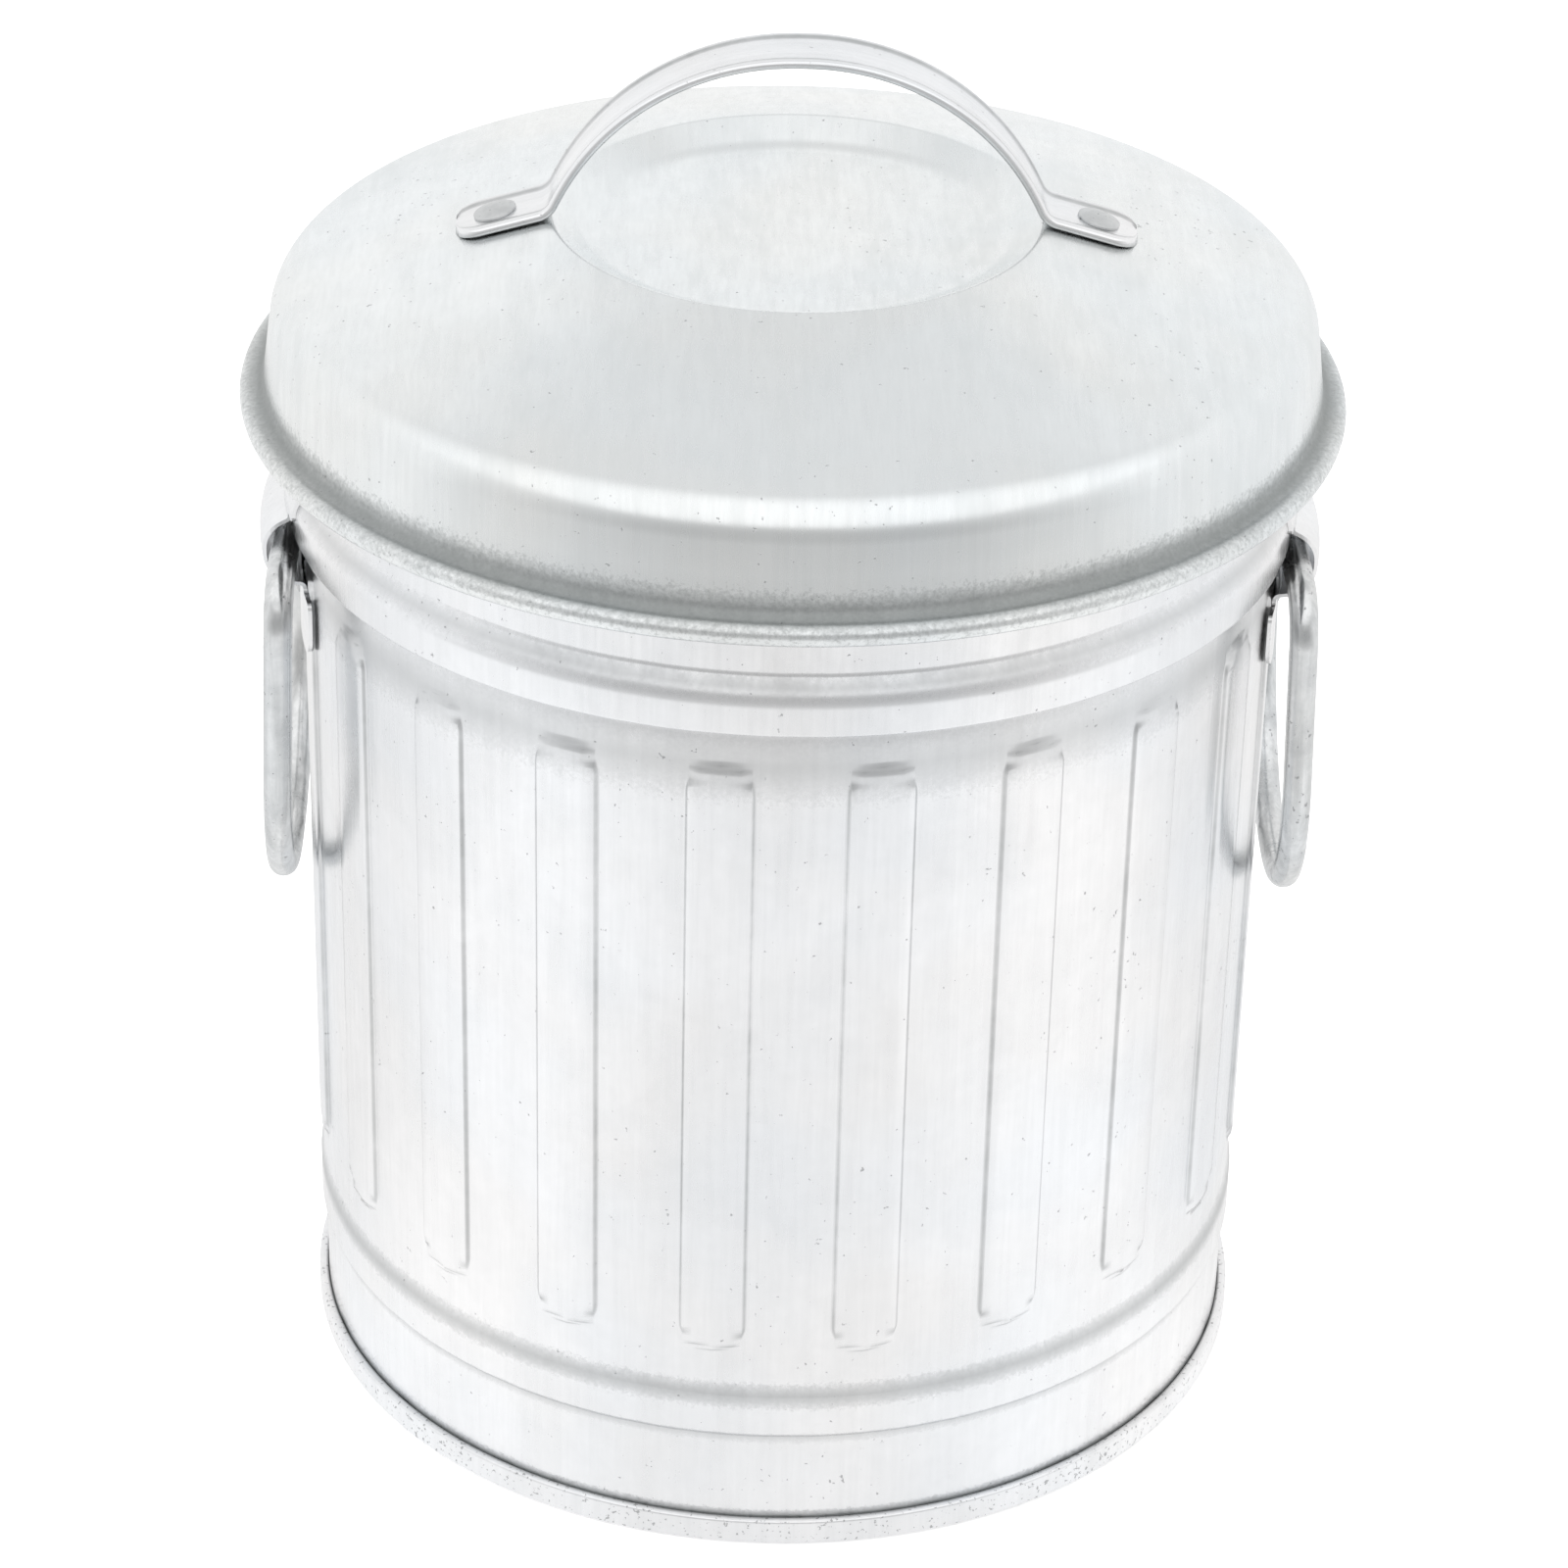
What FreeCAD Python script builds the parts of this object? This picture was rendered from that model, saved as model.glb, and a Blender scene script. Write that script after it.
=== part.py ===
import FreeCAD, Part
import math
import os

import Sketcher
from FreeCAD import Placement, Rotation, Vector

# A small galvanized trash can: ribbed sheet wall with a double-seamed bottom, two drop
# rings in stamped ears, and a lift-off lid with a riveted strap handle.
# Millimetres. +Z up, origin at the centre of the foot, the ring handles on +X and -X.

SIZES = {
    # sheet metal
    "sheet": 0.5,                  # thickness of the wall, bottom and lid
    "seam_gap": 0.03,              # air left between folded layers
    # foot of the wall, folded into the bottom
    "foot_radius": 76.9,           # outside of the wall just above the seam
    "seam_height": 4.4,
    "hook_top": 3.6,               # top of the wall's own fold inside the seam
    "hook_drop": 3.0,              # length of the bottom's hook behind that fold
    "fold_round": 0.06,            # inside radius of the seam's folds
    "floor_height": 5.0,           # underside of the bottom panel
    "floor_round": 1.6,
    # low bead
    "bead_rise": 0.8,              # over the foot
    "bead_low": 20.2,
    "bead_low_step": 0.9,
    "bead_band": 7.2,
    "bead_high_step": 2.2,
    "bead_round": 0.6,
    # ribbed barrel
    "barrel_rise": 0.3,            # over the foot, at its lower end
    "barrel_height": 118.9,
    "barrel_flare": 0.4,           # how much wider it is at its upper end
    "rib_count": 18,
    "rib_width": 10.9,
    "rib_height": 0.6,
    "rib_slope": 0.7,              # width of the slope round each rib
    "rib_low_gap": 8.2,            # from the bead to the ribs
    "rib_high_gap": 6.2,           # from the ribs to the swage
    # swage and mouth
    "swage_rise": 2.7,             # over the barrel
    "swage_lip": 0.6,
    "swage_band": 6.0,
    "swage_back": 36.4,            # degrees, slope of the back of the swage
    "swage_round": 0.7,
    "swage_brow": 4.4,             # bend between the band and its back
    "throat_height": 6.0,          # how far down the barrel is drawn in below the swage
    "throat_lean": 8.0,            # degrees, how far it leans in at the swage
    "neck_rise": 0.3,              # over the barrel
    "neck_height": 27.05,          # from the swage to the top of the mouth
    "mouth_roll": 1.25,            # inside radius of the rolled edge
    "wire_gap": 0.1,
    # lock seam down the back
    "lock_width": 7.0,
    "lock_height": 0.7,
    # lid
    "lid_gap": 0.3,                # between the lid and the rolled mouth
    "lid_shoulder_gap": 1.0,       # from the mouth out to the corner of the shoulder
    "lid_shoulder_round": 7.0,
    "lid_slope": 16.0,             # degrees
    "lid_flare": 7.0,              # degrees, lean of the skirt
    "lid_skirt_height": 15.6,
    "lid_skirt_round": 2.2,
    "lid_flange": 2.0,
    "lid_roll": 1.7,               # outside radius of the curled edge
    "lid_dish_radius": 38.5,
    "lid_dish_wall": 6.2,
    "lid_dish_depth": 3.4,
    "lid_dish_round": 8.0,
    "lid_dish_edge": 1.2,
    # strap handle of the lid
    "strap_width": 12.5,
    "strap_sheet": 0.7,
    "strap_hem": 1.5,              # width of the edges folded under
    "strap_dip": 0.3,              # how far the middle lies below the edges
    "strap_height": 27.0,          # over the lid
    "strap_arch_radius": 41.4,
    "strap_crown": 0.8,            # half the flat at the very top
    "strap_leg": 64.0,             # degrees, steepness of the legs
    "strap_bend": 3.0,
    "strap_reach": 53.2,
    "strap_tip_corner": 4.2,
    "strap_seat": 0.08,
    # rivets
    "lid_rivet_at": 46.8,
    "lid_rivet_head": 3.4,         # radius
    "lid_rivet_dome": 0.9,
    "rivet_shank": 1.6,            # radius
    "rivet_fit": 0.15,
    "rivet_reach": 5.0,            # how far a rivet's hole is cut each way
    "rivet_tail": 2.5,             # radius
    "rivet_tail_height": 0.9,
    "rivet_head_edge": 0.35,
    "ear_rivet_head": 2.5,
    "ear_rivet_dome": 0.9,
    "ear_rivet_inset": 5.0,        # from the lower end of the ear
    "ear_rivet_drop": 4.2,         # from its upper end
    # ears
    "ear_sheet": 0.6,
    "ear_seat": 0.02,              # air between ear and wall
    "ear_half_width": 19.5,
    "ear_hood_half_width": 15.0,
    "ear_flange": 11.2,            # height of the lower flange
    "ear_neck_flange": 7.4,        # height of the upper flange
    "ear_corner": 4.0,
    "ear_top_corner": 2.4,
    "ear_notch_round": 1.2,
    "ear_notch_margin": 1.2,
    "ear_hood_depth": 4.75,        # out from the ring's pivot
    "ear_hood_drop": 6.0,          # down from the ring's pivot
    "ear_hood_rise": 5.9,          # up from the ring's pivot
    "ear_hood_round": 5.4,
    "ear_roof": 30.0,              # degrees
    # ring handles
    "ring_wire": 4.6,              # diameter
    "ring_half_width": 30.0,
    "ring_drop": 60.6,
    "ring_corner": 7.0,
    "ring_bottom_flat": 1.0,
    "ring_wall_gap": 0.32,         # between the ring's bar and the barrel
    "ring_swage_gap": 0.7,         # between the ring's bar and the swage
    "ring_lean": 1.5,              # degrees, how far the ring hangs out from upright
    "ring_butt_gap": 0.4,
}

SIDES = {"left": -1, "right": 1}


class Size:
    """A number together with the sheet formula that gives it."""

    def __init__(self, value, formula):
        self.value = value
        self.formula = formula

    @staticmethod
    def of(number):
        if isinstance(number, Size):
            return number
        return Size(float(number), repr(float(number)))

    def join(self, other, sign, value):
        return Size(value, "(%s %s %s)" % (self.formula, sign, Size.of(other).formula))

    def __add__(self, other):
        return self.join(other, "+", self.value + Size.of(other).value)

    def __sub__(self, other):
        return self.join(other, "-", self.value - Size.of(other).value)

    def __mul__(self, other):
        return self.join(other, "*", self.value * Size.of(other).value)

    def __truediv__(self, other):
        return self.join(other, "/", self.value / Size.of(other).value)

    def __neg__(self):
        return Size(-self.value, "(0 - %s)" % self.formula)


def sine(angle):
    return Size(math.sin(math.radians(angle.value)), "sin(%s)" % angle.formula)


def cosine(angle):
    return Size(math.cos(math.radians(angle.value)), "cos(%s)" % angle.formula)


def tangent(angle):
    return Size(math.tan(math.radians(angle.value)), "tan(%s)" % angle.formula)


def root(square):
    return Size(math.sqrt(square.value), "sqrt(%s)" % square.formula)


def least(first, second):
    return Size(min(first.value, second.value), "min(%s; %s)" % (first.formula, second.formula))


doc = FreeCAD.newDocument("trash_can")
sheet = doc.addObject("Spreadsheet::Sheet", "Sizes")
for row, (alias, number) in enumerate(SIZES.items(), start=1):
    sheet.set("A%d" % row, alias)
    sheet.set("B%d" % row, str(number))
    sheet.setAlias("B%d" % row, alias)
doc.recompute()


def size(alias):
    return Size(float(SIZES[alias]), "Sizes." + alias)


# ---------------------------------------------------------------- sketches

EAR_BLANK_SPARE = 1.2                  # an ear is turned this much wider than it is stamped
RIB_SPARE = 2                          # a rib's block is this much higher than its cap
RIB_ROOT_SHEETS = 3                    # how many sheets deep a rib's block starts below the barrel

UPRIGHT = Placement(Vector(0, 0, 0), Rotation(Vector(1, 0, 0), 90))      # X right, Z up
SIDEWAYS = Placement(Vector(0, 0, 0), Rotation(Vector(1, 1, 1), 120))    # Y right, Z up


class Outline:
    """A sketch of straight runs through named corners, each corner rounded if it has a radius."""

    def __init__(self, sketch, corners, closed=False, domes=None, roll=None):
        self.sketch = sketch
        self.corners = [(Size.of(x), Size.of(y), Size.of(r) if r else None) for x, y, r in corners]
        self.closed = closed
        self.domes = domes or {}       # runs that are arcs: index of the run -> its radius
        self.formulas = []
        self.draw_runs()
        if roll:
            self.add_roll(roll)
        for index, formula in self.formulas:
            sketch.setExpression("Constraints[%d]" % index, formula)

    def spot(self, index):
        x, y, radius = self.corners[index % len(self.corners)]
        return Vector(x.value, y.value, 0)

    def trim(self, index):
        """How far a corner's rounding reaches along its runs."""
        count = len(self.corners)
        radius = self.corners[index % count][2]
        if radius is None or not (self.closed or 0 < index < count - 1):
            return 0.0
        before = (self.spot(index) - self.spot(index - 1)).normalize()
        after = (self.spot(index + 1) - self.spot(index)).normalize()
        return radius.value * math.tan(before.getAngle(after) / 2)

    def fix(self, geometry, end, x, y):
        """Holds a point at its place, or on the axis where a place is zero."""
        for kind, value, axis in (("DistanceX", x, -2), ("DistanceY", y, -1)):
            if value.value == 0.0:
                self.sketch.addConstraint(Sketcher.Constraint("PointOnObject", geometry, end, axis))
                continue
            rule = Sketcher.Constraint(kind, -1, 1, geometry, end, value.value)
            self.formulas.append((self.sketch.addConstraint(rule), value.formula))

    def set_radius(self, arc, radius):
        rule = self.sketch.addConstraint(Sketcher.Constraint("Radius", arc, radius.value))
        self.formulas.append((rule, radius.formula))

    def draw_runs(self):
        sketch, count = self.sketch, len(self.corners)
        run_total = count if self.closed else count - 1
        runs = []                      # (geometry, its first end, its last end)
        for index in range(run_total):
            start, end = self.spot(index), self.spot(index + 1)
            if index in self.domes:
                runs.append(self.draw_dome(start, end, self.domes[index]))
                continue
            along = (end - start).normalize()
            first = start + along * self.trim(index)
            last = end - along * self.trim((index + 1) % count)
            runs.append((sketch.addGeometry(Part.LineSegment(first, last)), 1, 2))
        for index in range(count):
            inside = self.closed or 0 < index < count - 1
            if not inside:
                run = runs[0] if index == 0 else runs[-1]
                self.fix(run[0], run[1] if index == 0 else run[2], *self.corners[index][:2])
                continue
            before, after = runs[index - 1], runs[index]
            if self.corners[index][2] is None:
                sketch.addConstraint(Sketcher.Constraint("Coincident", before[0], before[2],
                                                         after[0], after[1]))
                self.fix(after[0], after[1], *self.corners[index][:2])
            else:
                self.draw_rounding(index, before, after)
        self.last_run = runs[-1]

    def draw_rounding(self, index, before, after):
        sketch, corner = self.sketch, self.spot(index)
        along = (corner - self.spot(index - 1)).normalize()
        onward = (self.spot(index + 1) - corner).normalize()
        radius = self.corners[index][2]
        left = along.cross(onward).z > 0
        reach = self.trim(index)
        first, last = corner - along * reach, corner + onward * reach
        side = Vector(-along.y, along.x, 0) if left else Vector(along.y, -along.x, 0)
        centre = first + side * radius.value
        middle = centre + (corner - centre).normalize() * radius.value
        arc = sketch.addGeometry(Part.Arc(first, middle, last))
        first_end, last_end = (1, 2) if left else (2, 1)
        mark = sketch.addGeometry(Part.Point(corner), True)
        sketch.addConstraint([
            Sketcher.Constraint("Tangent", before[0], before[2], arc, first_end),
            Sketcher.Constraint("Tangent", arc, last_end, after[0], after[1]),
            Sketcher.Constraint("PointOnObject", mark, 1, before[0]),
            Sketcher.Constraint("PointOnObject", mark, 1, after[0]),
        ])
        self.set_radius(arc, radius)
        self.fix(mark, 1, *self.corners[index][:2])

    def draw_dome(self, start, end, radius):
        """An arc between two corners, bulging to the right of the way it runs."""
        chord = end - start
        half = chord.Length / 2
        rise = radius.value - math.sqrt(radius.value ** 2 - half ** 2)
        side = Vector(chord.y, -chord.x, 0).normalize()
        arc = self.sketch.addGeometry(Part.Arc(start, (start + end) / 2 + side * rise, end))
        self.set_radius(arc, radius)
        return arc, 1, 2

    def add_roll(self, radius):
        """Three quarters of a turn to the right after the last corner: a curled sheet edge."""
        count = len(self.corners)
        end = self.spot(count - 1)
        along = (end - self.spot(count - 2)).normalize()
        side = Vector(along.y, -along.x, 0)
        centre = end + side * radius.value
        middle = centre + (along + side).normalize() * radius.value
        arc = self.sketch.addGeometry(Part.Arc(end, middle, centre - along * radius.value))
        x, y = self.corners[-1][:2]
        upright = abs(along.y) > abs(along.x)
        self.fix(arc, 3, *((x + radius, y) if upright else (x, y - radius)))
        self.sketch.addConstraint([
            Sketcher.Constraint("Coincident", self.last_run[0], self.last_run[2], arc, 2),
            Sketcher.Constraint("Vertical" if upright else "Horizontal", arc, 1, arc, 3),
        ])


def bind(thing, **formulas):
    """Ties properties to sheet formulas; a double underscore stands for a dot."""
    for name, value in formulas.items():
        thing.setExpression(name.replace("__", "."), Size.of(value).formula)


def free_sketch(name, placement, *outline, **options):
    sketch = doc.addObject("Sketcher::SketchObject", name)
    sketch.Placement = placement
    Outline(sketch, *outline, **options)
    return sketch


def body_sketch(body, name, plane, *outline, **options):
    sketch = body.newObject("Sketcher::SketchObject", name)
    origin = [item for item in body.Origin.OriginFeatures if item.Role == plane][0]
    sketch.AttachmentSupport = (origin, "")
    sketch.MapMode = "FlatFace"
    Outline(sketch, *outline, **options)
    return sketch


def thicken(name, line, thickness):
    """Sheet metal seen from its edge: a line made this thick towards its left, or right if negative."""
    skin = doc.addObject("Part::Offset2D", name + "_section")
    skin.Source = line
    skin.Mode = "Skin"
    skin.Fill = True
    bind(skin, Value=thickness)
    doc.recompute()
    run = line.Geometry[0]
    along = (run.EndPoint - run.StartPoint).normalize()
    probe = (run.StartPoint + run.EndPoint) / 2 + Vector(-along.y, along.x, 0) * (thickness.value / 2)
    if skin.Shape.distToShape(Part.Vertex(line.Placement.multVec(probe)))[0] > abs(thickness.value) / 10:
        bind(skin, Value=-thickness)
    return skin


def spun_sheet(name, line, thickness, half_angle=None):
    """Sheet metal turned about Z: a line, thickened and spun."""
    turned = doc.addObject("Part::Revolution", name)
    turned.Source = thicken(name, line, thickness)
    turned.Axis = Vector(0, 0, 1)
    turned.Solid = True
    if half_angle is not None:
        turned.Symmetric = True
        turned.setExpression("Angle", (half_angle * 2).formula)
    return turned


def boolean(kind, name, base, tool):
    result = doc.addObject(kind, name)
    result.Base = base
    result.Tool = tool
    return result


def node(thing, label):
    thing.Label = label
    nodes.append(thing)
    return thing


nodes = []

# ---------------------------------------------------------------- places shared by the pieces

sheet_t = size("sheet")
gap = size("seam_gap")

# the wall from the floor up: foot, low bead, ribbed barrel, swage, neck, rolled mouth
foot = size("foot_radius")
bead = foot + size("bead_rise")
bead_low = size("bead_low")
bead_high = bead_low + size("bead_low_step") + size("bead_band")
barrel_low = foot + size("barrel_rise")
barrel_high = barrel_low + size("barrel_flare")
barrel_base = bead_high + size("bead_high_step")
barrel_top = barrel_base + size("barrel_height")
throat_half = size("throat_height") / 2
throat = barrel_high - throat_half * tangent(size("throat_lean"))
throat_bend = (throat_half - size("swage_round") * 2) / tangent(size("throat_lean") / 2)
swage = barrel_high + size("swage_rise")
swage_low = barrel_top + size("swage_lip")
swage_high = swage_low + size("swage_band")
neck = barrel_high + size("neck_rise")
neck_base = swage_high + (swage - neck) / tangent(size("swage_back"))
mouth_top = neck_base + size("neck_height")
roll = size("mouth_roll")
roll_radius = neck + roll
roll_height = mouth_top - sheet_t - roll

# the rings and the ears that hold them
wire = size("ring_wire") / 2
pivot_radius = barrel_high + size("ring_wall_gap") + wire
pivot_height = barrel_top - size("ring_swage_gap") - wire
rib_face = barrel_high + size("rib_height")
ear_skin = size("ear_sheet") + size("ear_seat")
ear_face = rib_face + ear_skin
hood_low = pivot_height - size("ear_hood_drop")
hood_high = pivot_height + size("ear_hood_rise")
ear_low = hood_low - size("ear_flange")
ear_high = neck_base + size("ear_neck_flange")

# the lid: its shoulder rests over the rolled mouth
slope = size("lid_slope")
shoulder = neck - sheet_t + (roll + sheet_t) * 2 + size("lid_shoulder_gap")
shoulder_round = size("lid_shoulder_round")
shoulder_reach = shoulder_round * tangent((Size.of(90) - slope - size("lid_flare")) / 2)
shoulder_centre = shoulder - cosine(slope) * shoulder_reach - sine(slope) * shoulder_round
seat_radius = shoulder_round - sheet_t * 2 - roll - size("lid_gap")
seat_across = roll_radius - shoulder_centre
shoulder_height = (roll_height - root(seat_radius * seat_radius - seat_across * seat_across)
                   - sine(slope) * shoulder_reach + cosine(slope) * shoulder_round)
rim_top = shoulder_height - size("lid_skirt_height")
skirt = shoulder + size("lid_skirt_height") * tangent(size("lid_flare"))
dish = size("lid_dish_radius")


def lid_top(across):
    """Height of the lid's cone at a distance from its middle."""
    return shoulder_height + (shoulder - across) * tangent(slope)


# ---------------------------------------------------------------- can: wall and bottom

bead_round = size("bead_round")
swage_round = size("swage_round")
wall_line = free_sketch("wall_line", UPRIGHT, [
    (foot + sheet_t + gap * 2, size("hook_top"), None),
    (foot + sheet_t + gap * 2, sheet_t * 2 + gap, None),
    (foot, sheet_t * 2 + gap, None),
    (foot, bead_low, bead_round),
    (bead, bead_low + size("bead_low_step"), bead_round),
    (bead, bead_high, bead_round),
    (barrel_low, barrel_base, bead_round),
    (barrel_high, barrel_top - throat_half, throat_bend),
    (throat, barrel_top, swage_round),
    (swage, swage_low, swage_round),
    (swage, swage_high, size("swage_brow")),
    (neck, neck_base, swage_round * 2),
    (neck, roll_height, None),
], roll=roll)
spun_wall = spun_sheet("spun_wall", wall_line, sheet_t)

fold = sheet_t + size("fold_round")
chuck = foot - sheet_t * 2 - gap
seam_outer = foot + sheet_t * 3 + gap * 3
bottom_line = free_sketch("bottom_line", UPRIGHT, [
    (0, size("floor_height"), None),
    (chuck, size("floor_height"), size("floor_round")),
    (chuck, 0, fold),
    (seam_outer, 0, fold),
    (seam_outer, size("seam_height"), fold),
    (foot + gap, size("seam_height"), fold),
    (foot + gap, size("seam_height") - size("hook_drop"), None),
])
node(spun_sheet("bottom", bottom_line, sheet_t), "can_bottom")


def slot_wire(half_width, low, high, distance):
    """A slot with round ends that faces -Y, as a wire at a distance from the axis."""
    def place(x, z):
        return Vector(x, -distance, z)
    bottom, top = low + half_width, high - half_width
    return Part.Wire([
        Part.LineSegment(place(half_width, bottom), place(half_width, top)).toShape(),
        Part.Arc(place(half_width, top), place(0, high), place(-half_width, top)).toShape(),
        Part.LineSegment(place(-half_width, top), place(-half_width, bottom)).toShape(),
        Part.Arc(place(-half_width, bottom), place(0, low), place(half_width, bottom)).toShape(),
    ])


def barrel_cone(outward):
    """The barrel's outer surface as a solid, moved outward."""
    low, high = barrel_low.value + outward, barrel_high.value + outward
    return Part.makeCone(low, high, SIZES["barrel_height"], Vector(0, 0, barrel_base.value))


def rib_block(shift, cap):
    """One pressed rib as a block with sloping sides, moved inward and capped over the barrel."""
    rise, run = SIZES["rib_height"], SIZES["rib_slope"]
    low = barrel_base.value + SIZES["rib_low_gap"]
    high = barrel_top.value - SIZES["rib_high_gap"]
    middle = Vector(0, -(barrel_low.value + barrel_high.value) / 2, (low + high) / 2)
    wires = []
    for depth in (RIB_ROOT_SHEETS * SIZES["sheet"], -RIB_SPARE * rise):
        spread = run * depth / rise
        wires.append(slot_wire(SIZES["rib_width"] / 2 + spread, low - spread, high + spread,
                               -middle.y - depth - shift))
    block = Part.makeLoft(wires, True, True)
    lean = math.degrees(math.atan(SIZES["barrel_flare"] / SIZES["barrel_height"]))
    block.rotate(middle, Vector(1, 0, 0), lean)
    return block.common(barrel_cone(cap))


def rib_ring(name, rib):
    """The rib repeated round the can, with a gap between ribs at the very front."""
    count = int(round(SIZES["rib_count"]))
    step = 360.0 / count
    ring = doc.addObject("Part::Feature", name)
    ring.Shape = Part.makeCompound([
        rib.rotated(Vector(0, 0, 0), Vector(0, 0, 1), step * (index + 0.5)) for index in range(count)])
    return ring


slant = math.atan2(SIZES["rib_height"], SIZES["rib_slope"])
rib_outside = rib_block(0, SIZES["rib_height"]).cut(barrel_cone(-SIZES["sheet"] / 2))
rib_inside = rib_block(SIZES["sheet"] / math.cos(slant), SIZES["rib_height"] - SIZES["sheet"])
ribs = rib_ring("ribs", rib_outside)
rib_hollows = rib_ring("rib_hollows", rib_inside)

lock_line = free_sketch("lock_line", SIDEWAYS, [
    (barrel_low - sheet_t / 2, barrel_base, None),
    (barrel_low + size("lock_height"), barrel_base + size("lock_height"), None),
    (barrel_high + size("lock_height"), barrel_top - size("lock_height"), None),
    (barrel_high - sheet_t / 2, barrel_top, None),
], closed=True)
lock_seam = doc.addObject("Part::Revolution", "lock_seam")
lock_seam.Source = lock_line
lock_seam.Axis = Vector(0, 0, 1)
lock_seam.Solid = True
lock_seam.Symmetric = True
bind(lock_seam, Angle=size("lock_width") / foot * math.degrees(1))


# ---------------------------------------------------------------- rivets and their holes

def along_axis(thing, across, height, tilt, side):
    """Puts a thing's own Z axis at a place on the XZ plane, tilted out to one side."""
    thing.Placement = Placement(Vector(0, 0, 0), Rotation(Vector(0, 1, 0), tilt.value * side))
    bind(thing, Placement__Base__x=across * side, Placement__Base__z=height,
         Placement__Rotation__Angle=tilt)
    if side < 0:                       # the bound angle is the same on both sides, so the axis turns
        thing.Placement.Rotation.Axis = Vector(0, -1, 0)


def drill(name, across, height, tilt, side):
    """A rivet hole that reaches a little way each way along its axis."""
    reach = size("rivet_reach")
    hole = doc.addObject("Part::Cylinder", name)
    bind(hole, Radius=size("rivet_shank") + size("rivet_fit"), Height=reach * 2)
    along_axis(hole, across - sine(tilt) * reach, height - cosine(tilt) * reach, tilt, side)
    return hole


def rivet(name, head, dome, grip, across, height, tilt, side):
    """A domed rivet: its head sits at the place given, its tail is upset a grip's length below."""
    body = doc.addObject("PartDesign::Body", name)
    edge, shank, tail = size("rivet_head_edge"), size("rivet_shank"), size("rivet_tail")
    low = -(grip + size("rivet_tail_height"))
    profile = body_sketch(body, name + "_profile", "XZ_Plane", [
        (0, low, None),
        (tail, low, size("rivet_tail_height") / 2),
        (tail, -grip, None),
        (shank, -grip, None),
        (shank, 0, None),
        (head, 0, None),
        (head, edge, None),
        (0, edge + dome, None),
    ], closed=True, domes={6: (head * head + dome * dome) / (dome * 2)})
    turned = body.newObject("PartDesign::Revolution", name + "_turned")
    turned.Profile = profile
    turned.ReferenceAxis = (profile, ["V_Axis"])
    turned.Angle = 360
    along_axis(body, across, height, tilt, side)
    return node(body, name)


upright, level = Size.of(90), size("rivet_fit")
ear_rivets = {
    "lower": (ear_low + size("ear_rivet_inset"), ear_face, ear_skin + sheet_t + level),
    "upper": (ear_high - size("ear_rivet_drop"), neck + ear_skin, ear_skin + sheet_t + level),
}
wall_holes = []
for side_name, side in SIDES.items():
    for row, (height, seat, grip) in ear_rivets.items():
        title = "%s_ear_%s_rivet" % (side_name, row)
        rivet(title, size("ear_rivet_head"), size("ear_rivet_dome"), grip, seat, height, upright, side)
        wall_holes.append(drill(title + "_hole", seat, height, upright, side))


# ---------------------------------------------------------------- can: wall put together

pressed_wall = doc.addObject("Part::MultiFuse", "pressed_wall")
pressed_wall.Shapes = [spun_wall, ribs, lock_seam]
wall_cuts = doc.addObject("Part::Compound", "wall_cuts")
wall_cuts.Links = [rib_hollows] + wall_holes
node(boolean("Part::Cut", "wall", pressed_wall, wall_cuts), "can_wall")

mouth_wire = doc.addObject("Part::Torus", "wire")
bind(mouth_wire, Radius1=roll_radius, Radius2=roll - size("wire_gap"), Placement__Base__z=roll_height)
node(mouth_wire, "mouth_wire")


# ---------------------------------------------------------------- ears

back_offset = ear_skin * tangent(size("swage_back") / 2)
hood = pivot_radius + size("ear_hood_depth")
roof_foot = swage + ear_skin
ear_line = free_sketch("ear_line", UPRIGHT, [
    (ear_face, ear_low - size("ear_corner"), None),
    (ear_face, hood_low, None),
    (hood, hood_low, size("ear_hood_round")),
    (hood, hood_high - (hood - roof_foot) * tangent(size("ear_roof")), size("ear_hood_round")),
    (roof_foot, hood_high, None),
    (roof_foot, swage_high + back_offset, size("swage_brow") + ear_skin),
    (neck + ear_skin, neck_base + back_offset, swage_round * 2 - ear_skin),
    (neck + ear_skin, ear_high + size("ear_corner"), None),
])
spun_ear = spun_sheet("spun_ear", ear_line, size("ear_sheet"),
                      half_angle=size("ear_half_width") / foot * math.degrees(1) * EAR_BLANK_SPARE)
half, hood_half = size("ear_half_width"), size("ear_hood_half_width")
notch_low, notch_high = hood_low - size("ear_notch_margin"), hood_high + size("ear_notch_margin")
corner, notch_round = size("ear_corner"), size("ear_notch_round")
ear_right_edge = [
    (half, ear_low, corner), (half, notch_low, notch_round),
    (hood_half, notch_low, notch_round), (hood_half, notch_high, notch_round),
    (half, notch_high, notch_round), (half, ear_high, size("ear_top_corner"))]
ear_blank = free_sketch("ear_blank", SIDEWAYS,
                        ear_right_edge + [(-y, z, r) for y, z, r in reversed(ear_right_edge)], closed=True)
ear_stamp = doc.addObject("Part::Extrusion", "ear_stamp")
ear_stamp.Base = ear_blank
ear_stamp.DirMode = "Custom"
ear_stamp.Dir = Vector(1, 0, 0)
ear_stamp.Solid = True
bind(ear_stamp, LengthFwd=foot * 2)
formed_ear = boolean("Part::Common", "formed_ear", spun_ear, ear_stamp)
ear_holes = doc.addObject("Part::Compound", "ear_holes")
ear_holes.Links = wall_holes[len(ear_rivets):]
right_ear = node(boolean("Part::Cut", "drilled_ear", formed_ear, ear_holes), "right_ear")
left_ear = doc.addObject("Part::Mirroring", "mirrored_ear")
left_ear.Source = right_ear
left_ear.Normal = Vector(1, 0, 0)
node(left_ear, "left_ear")


# ---------------------------------------------------------------- ring handles

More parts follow.
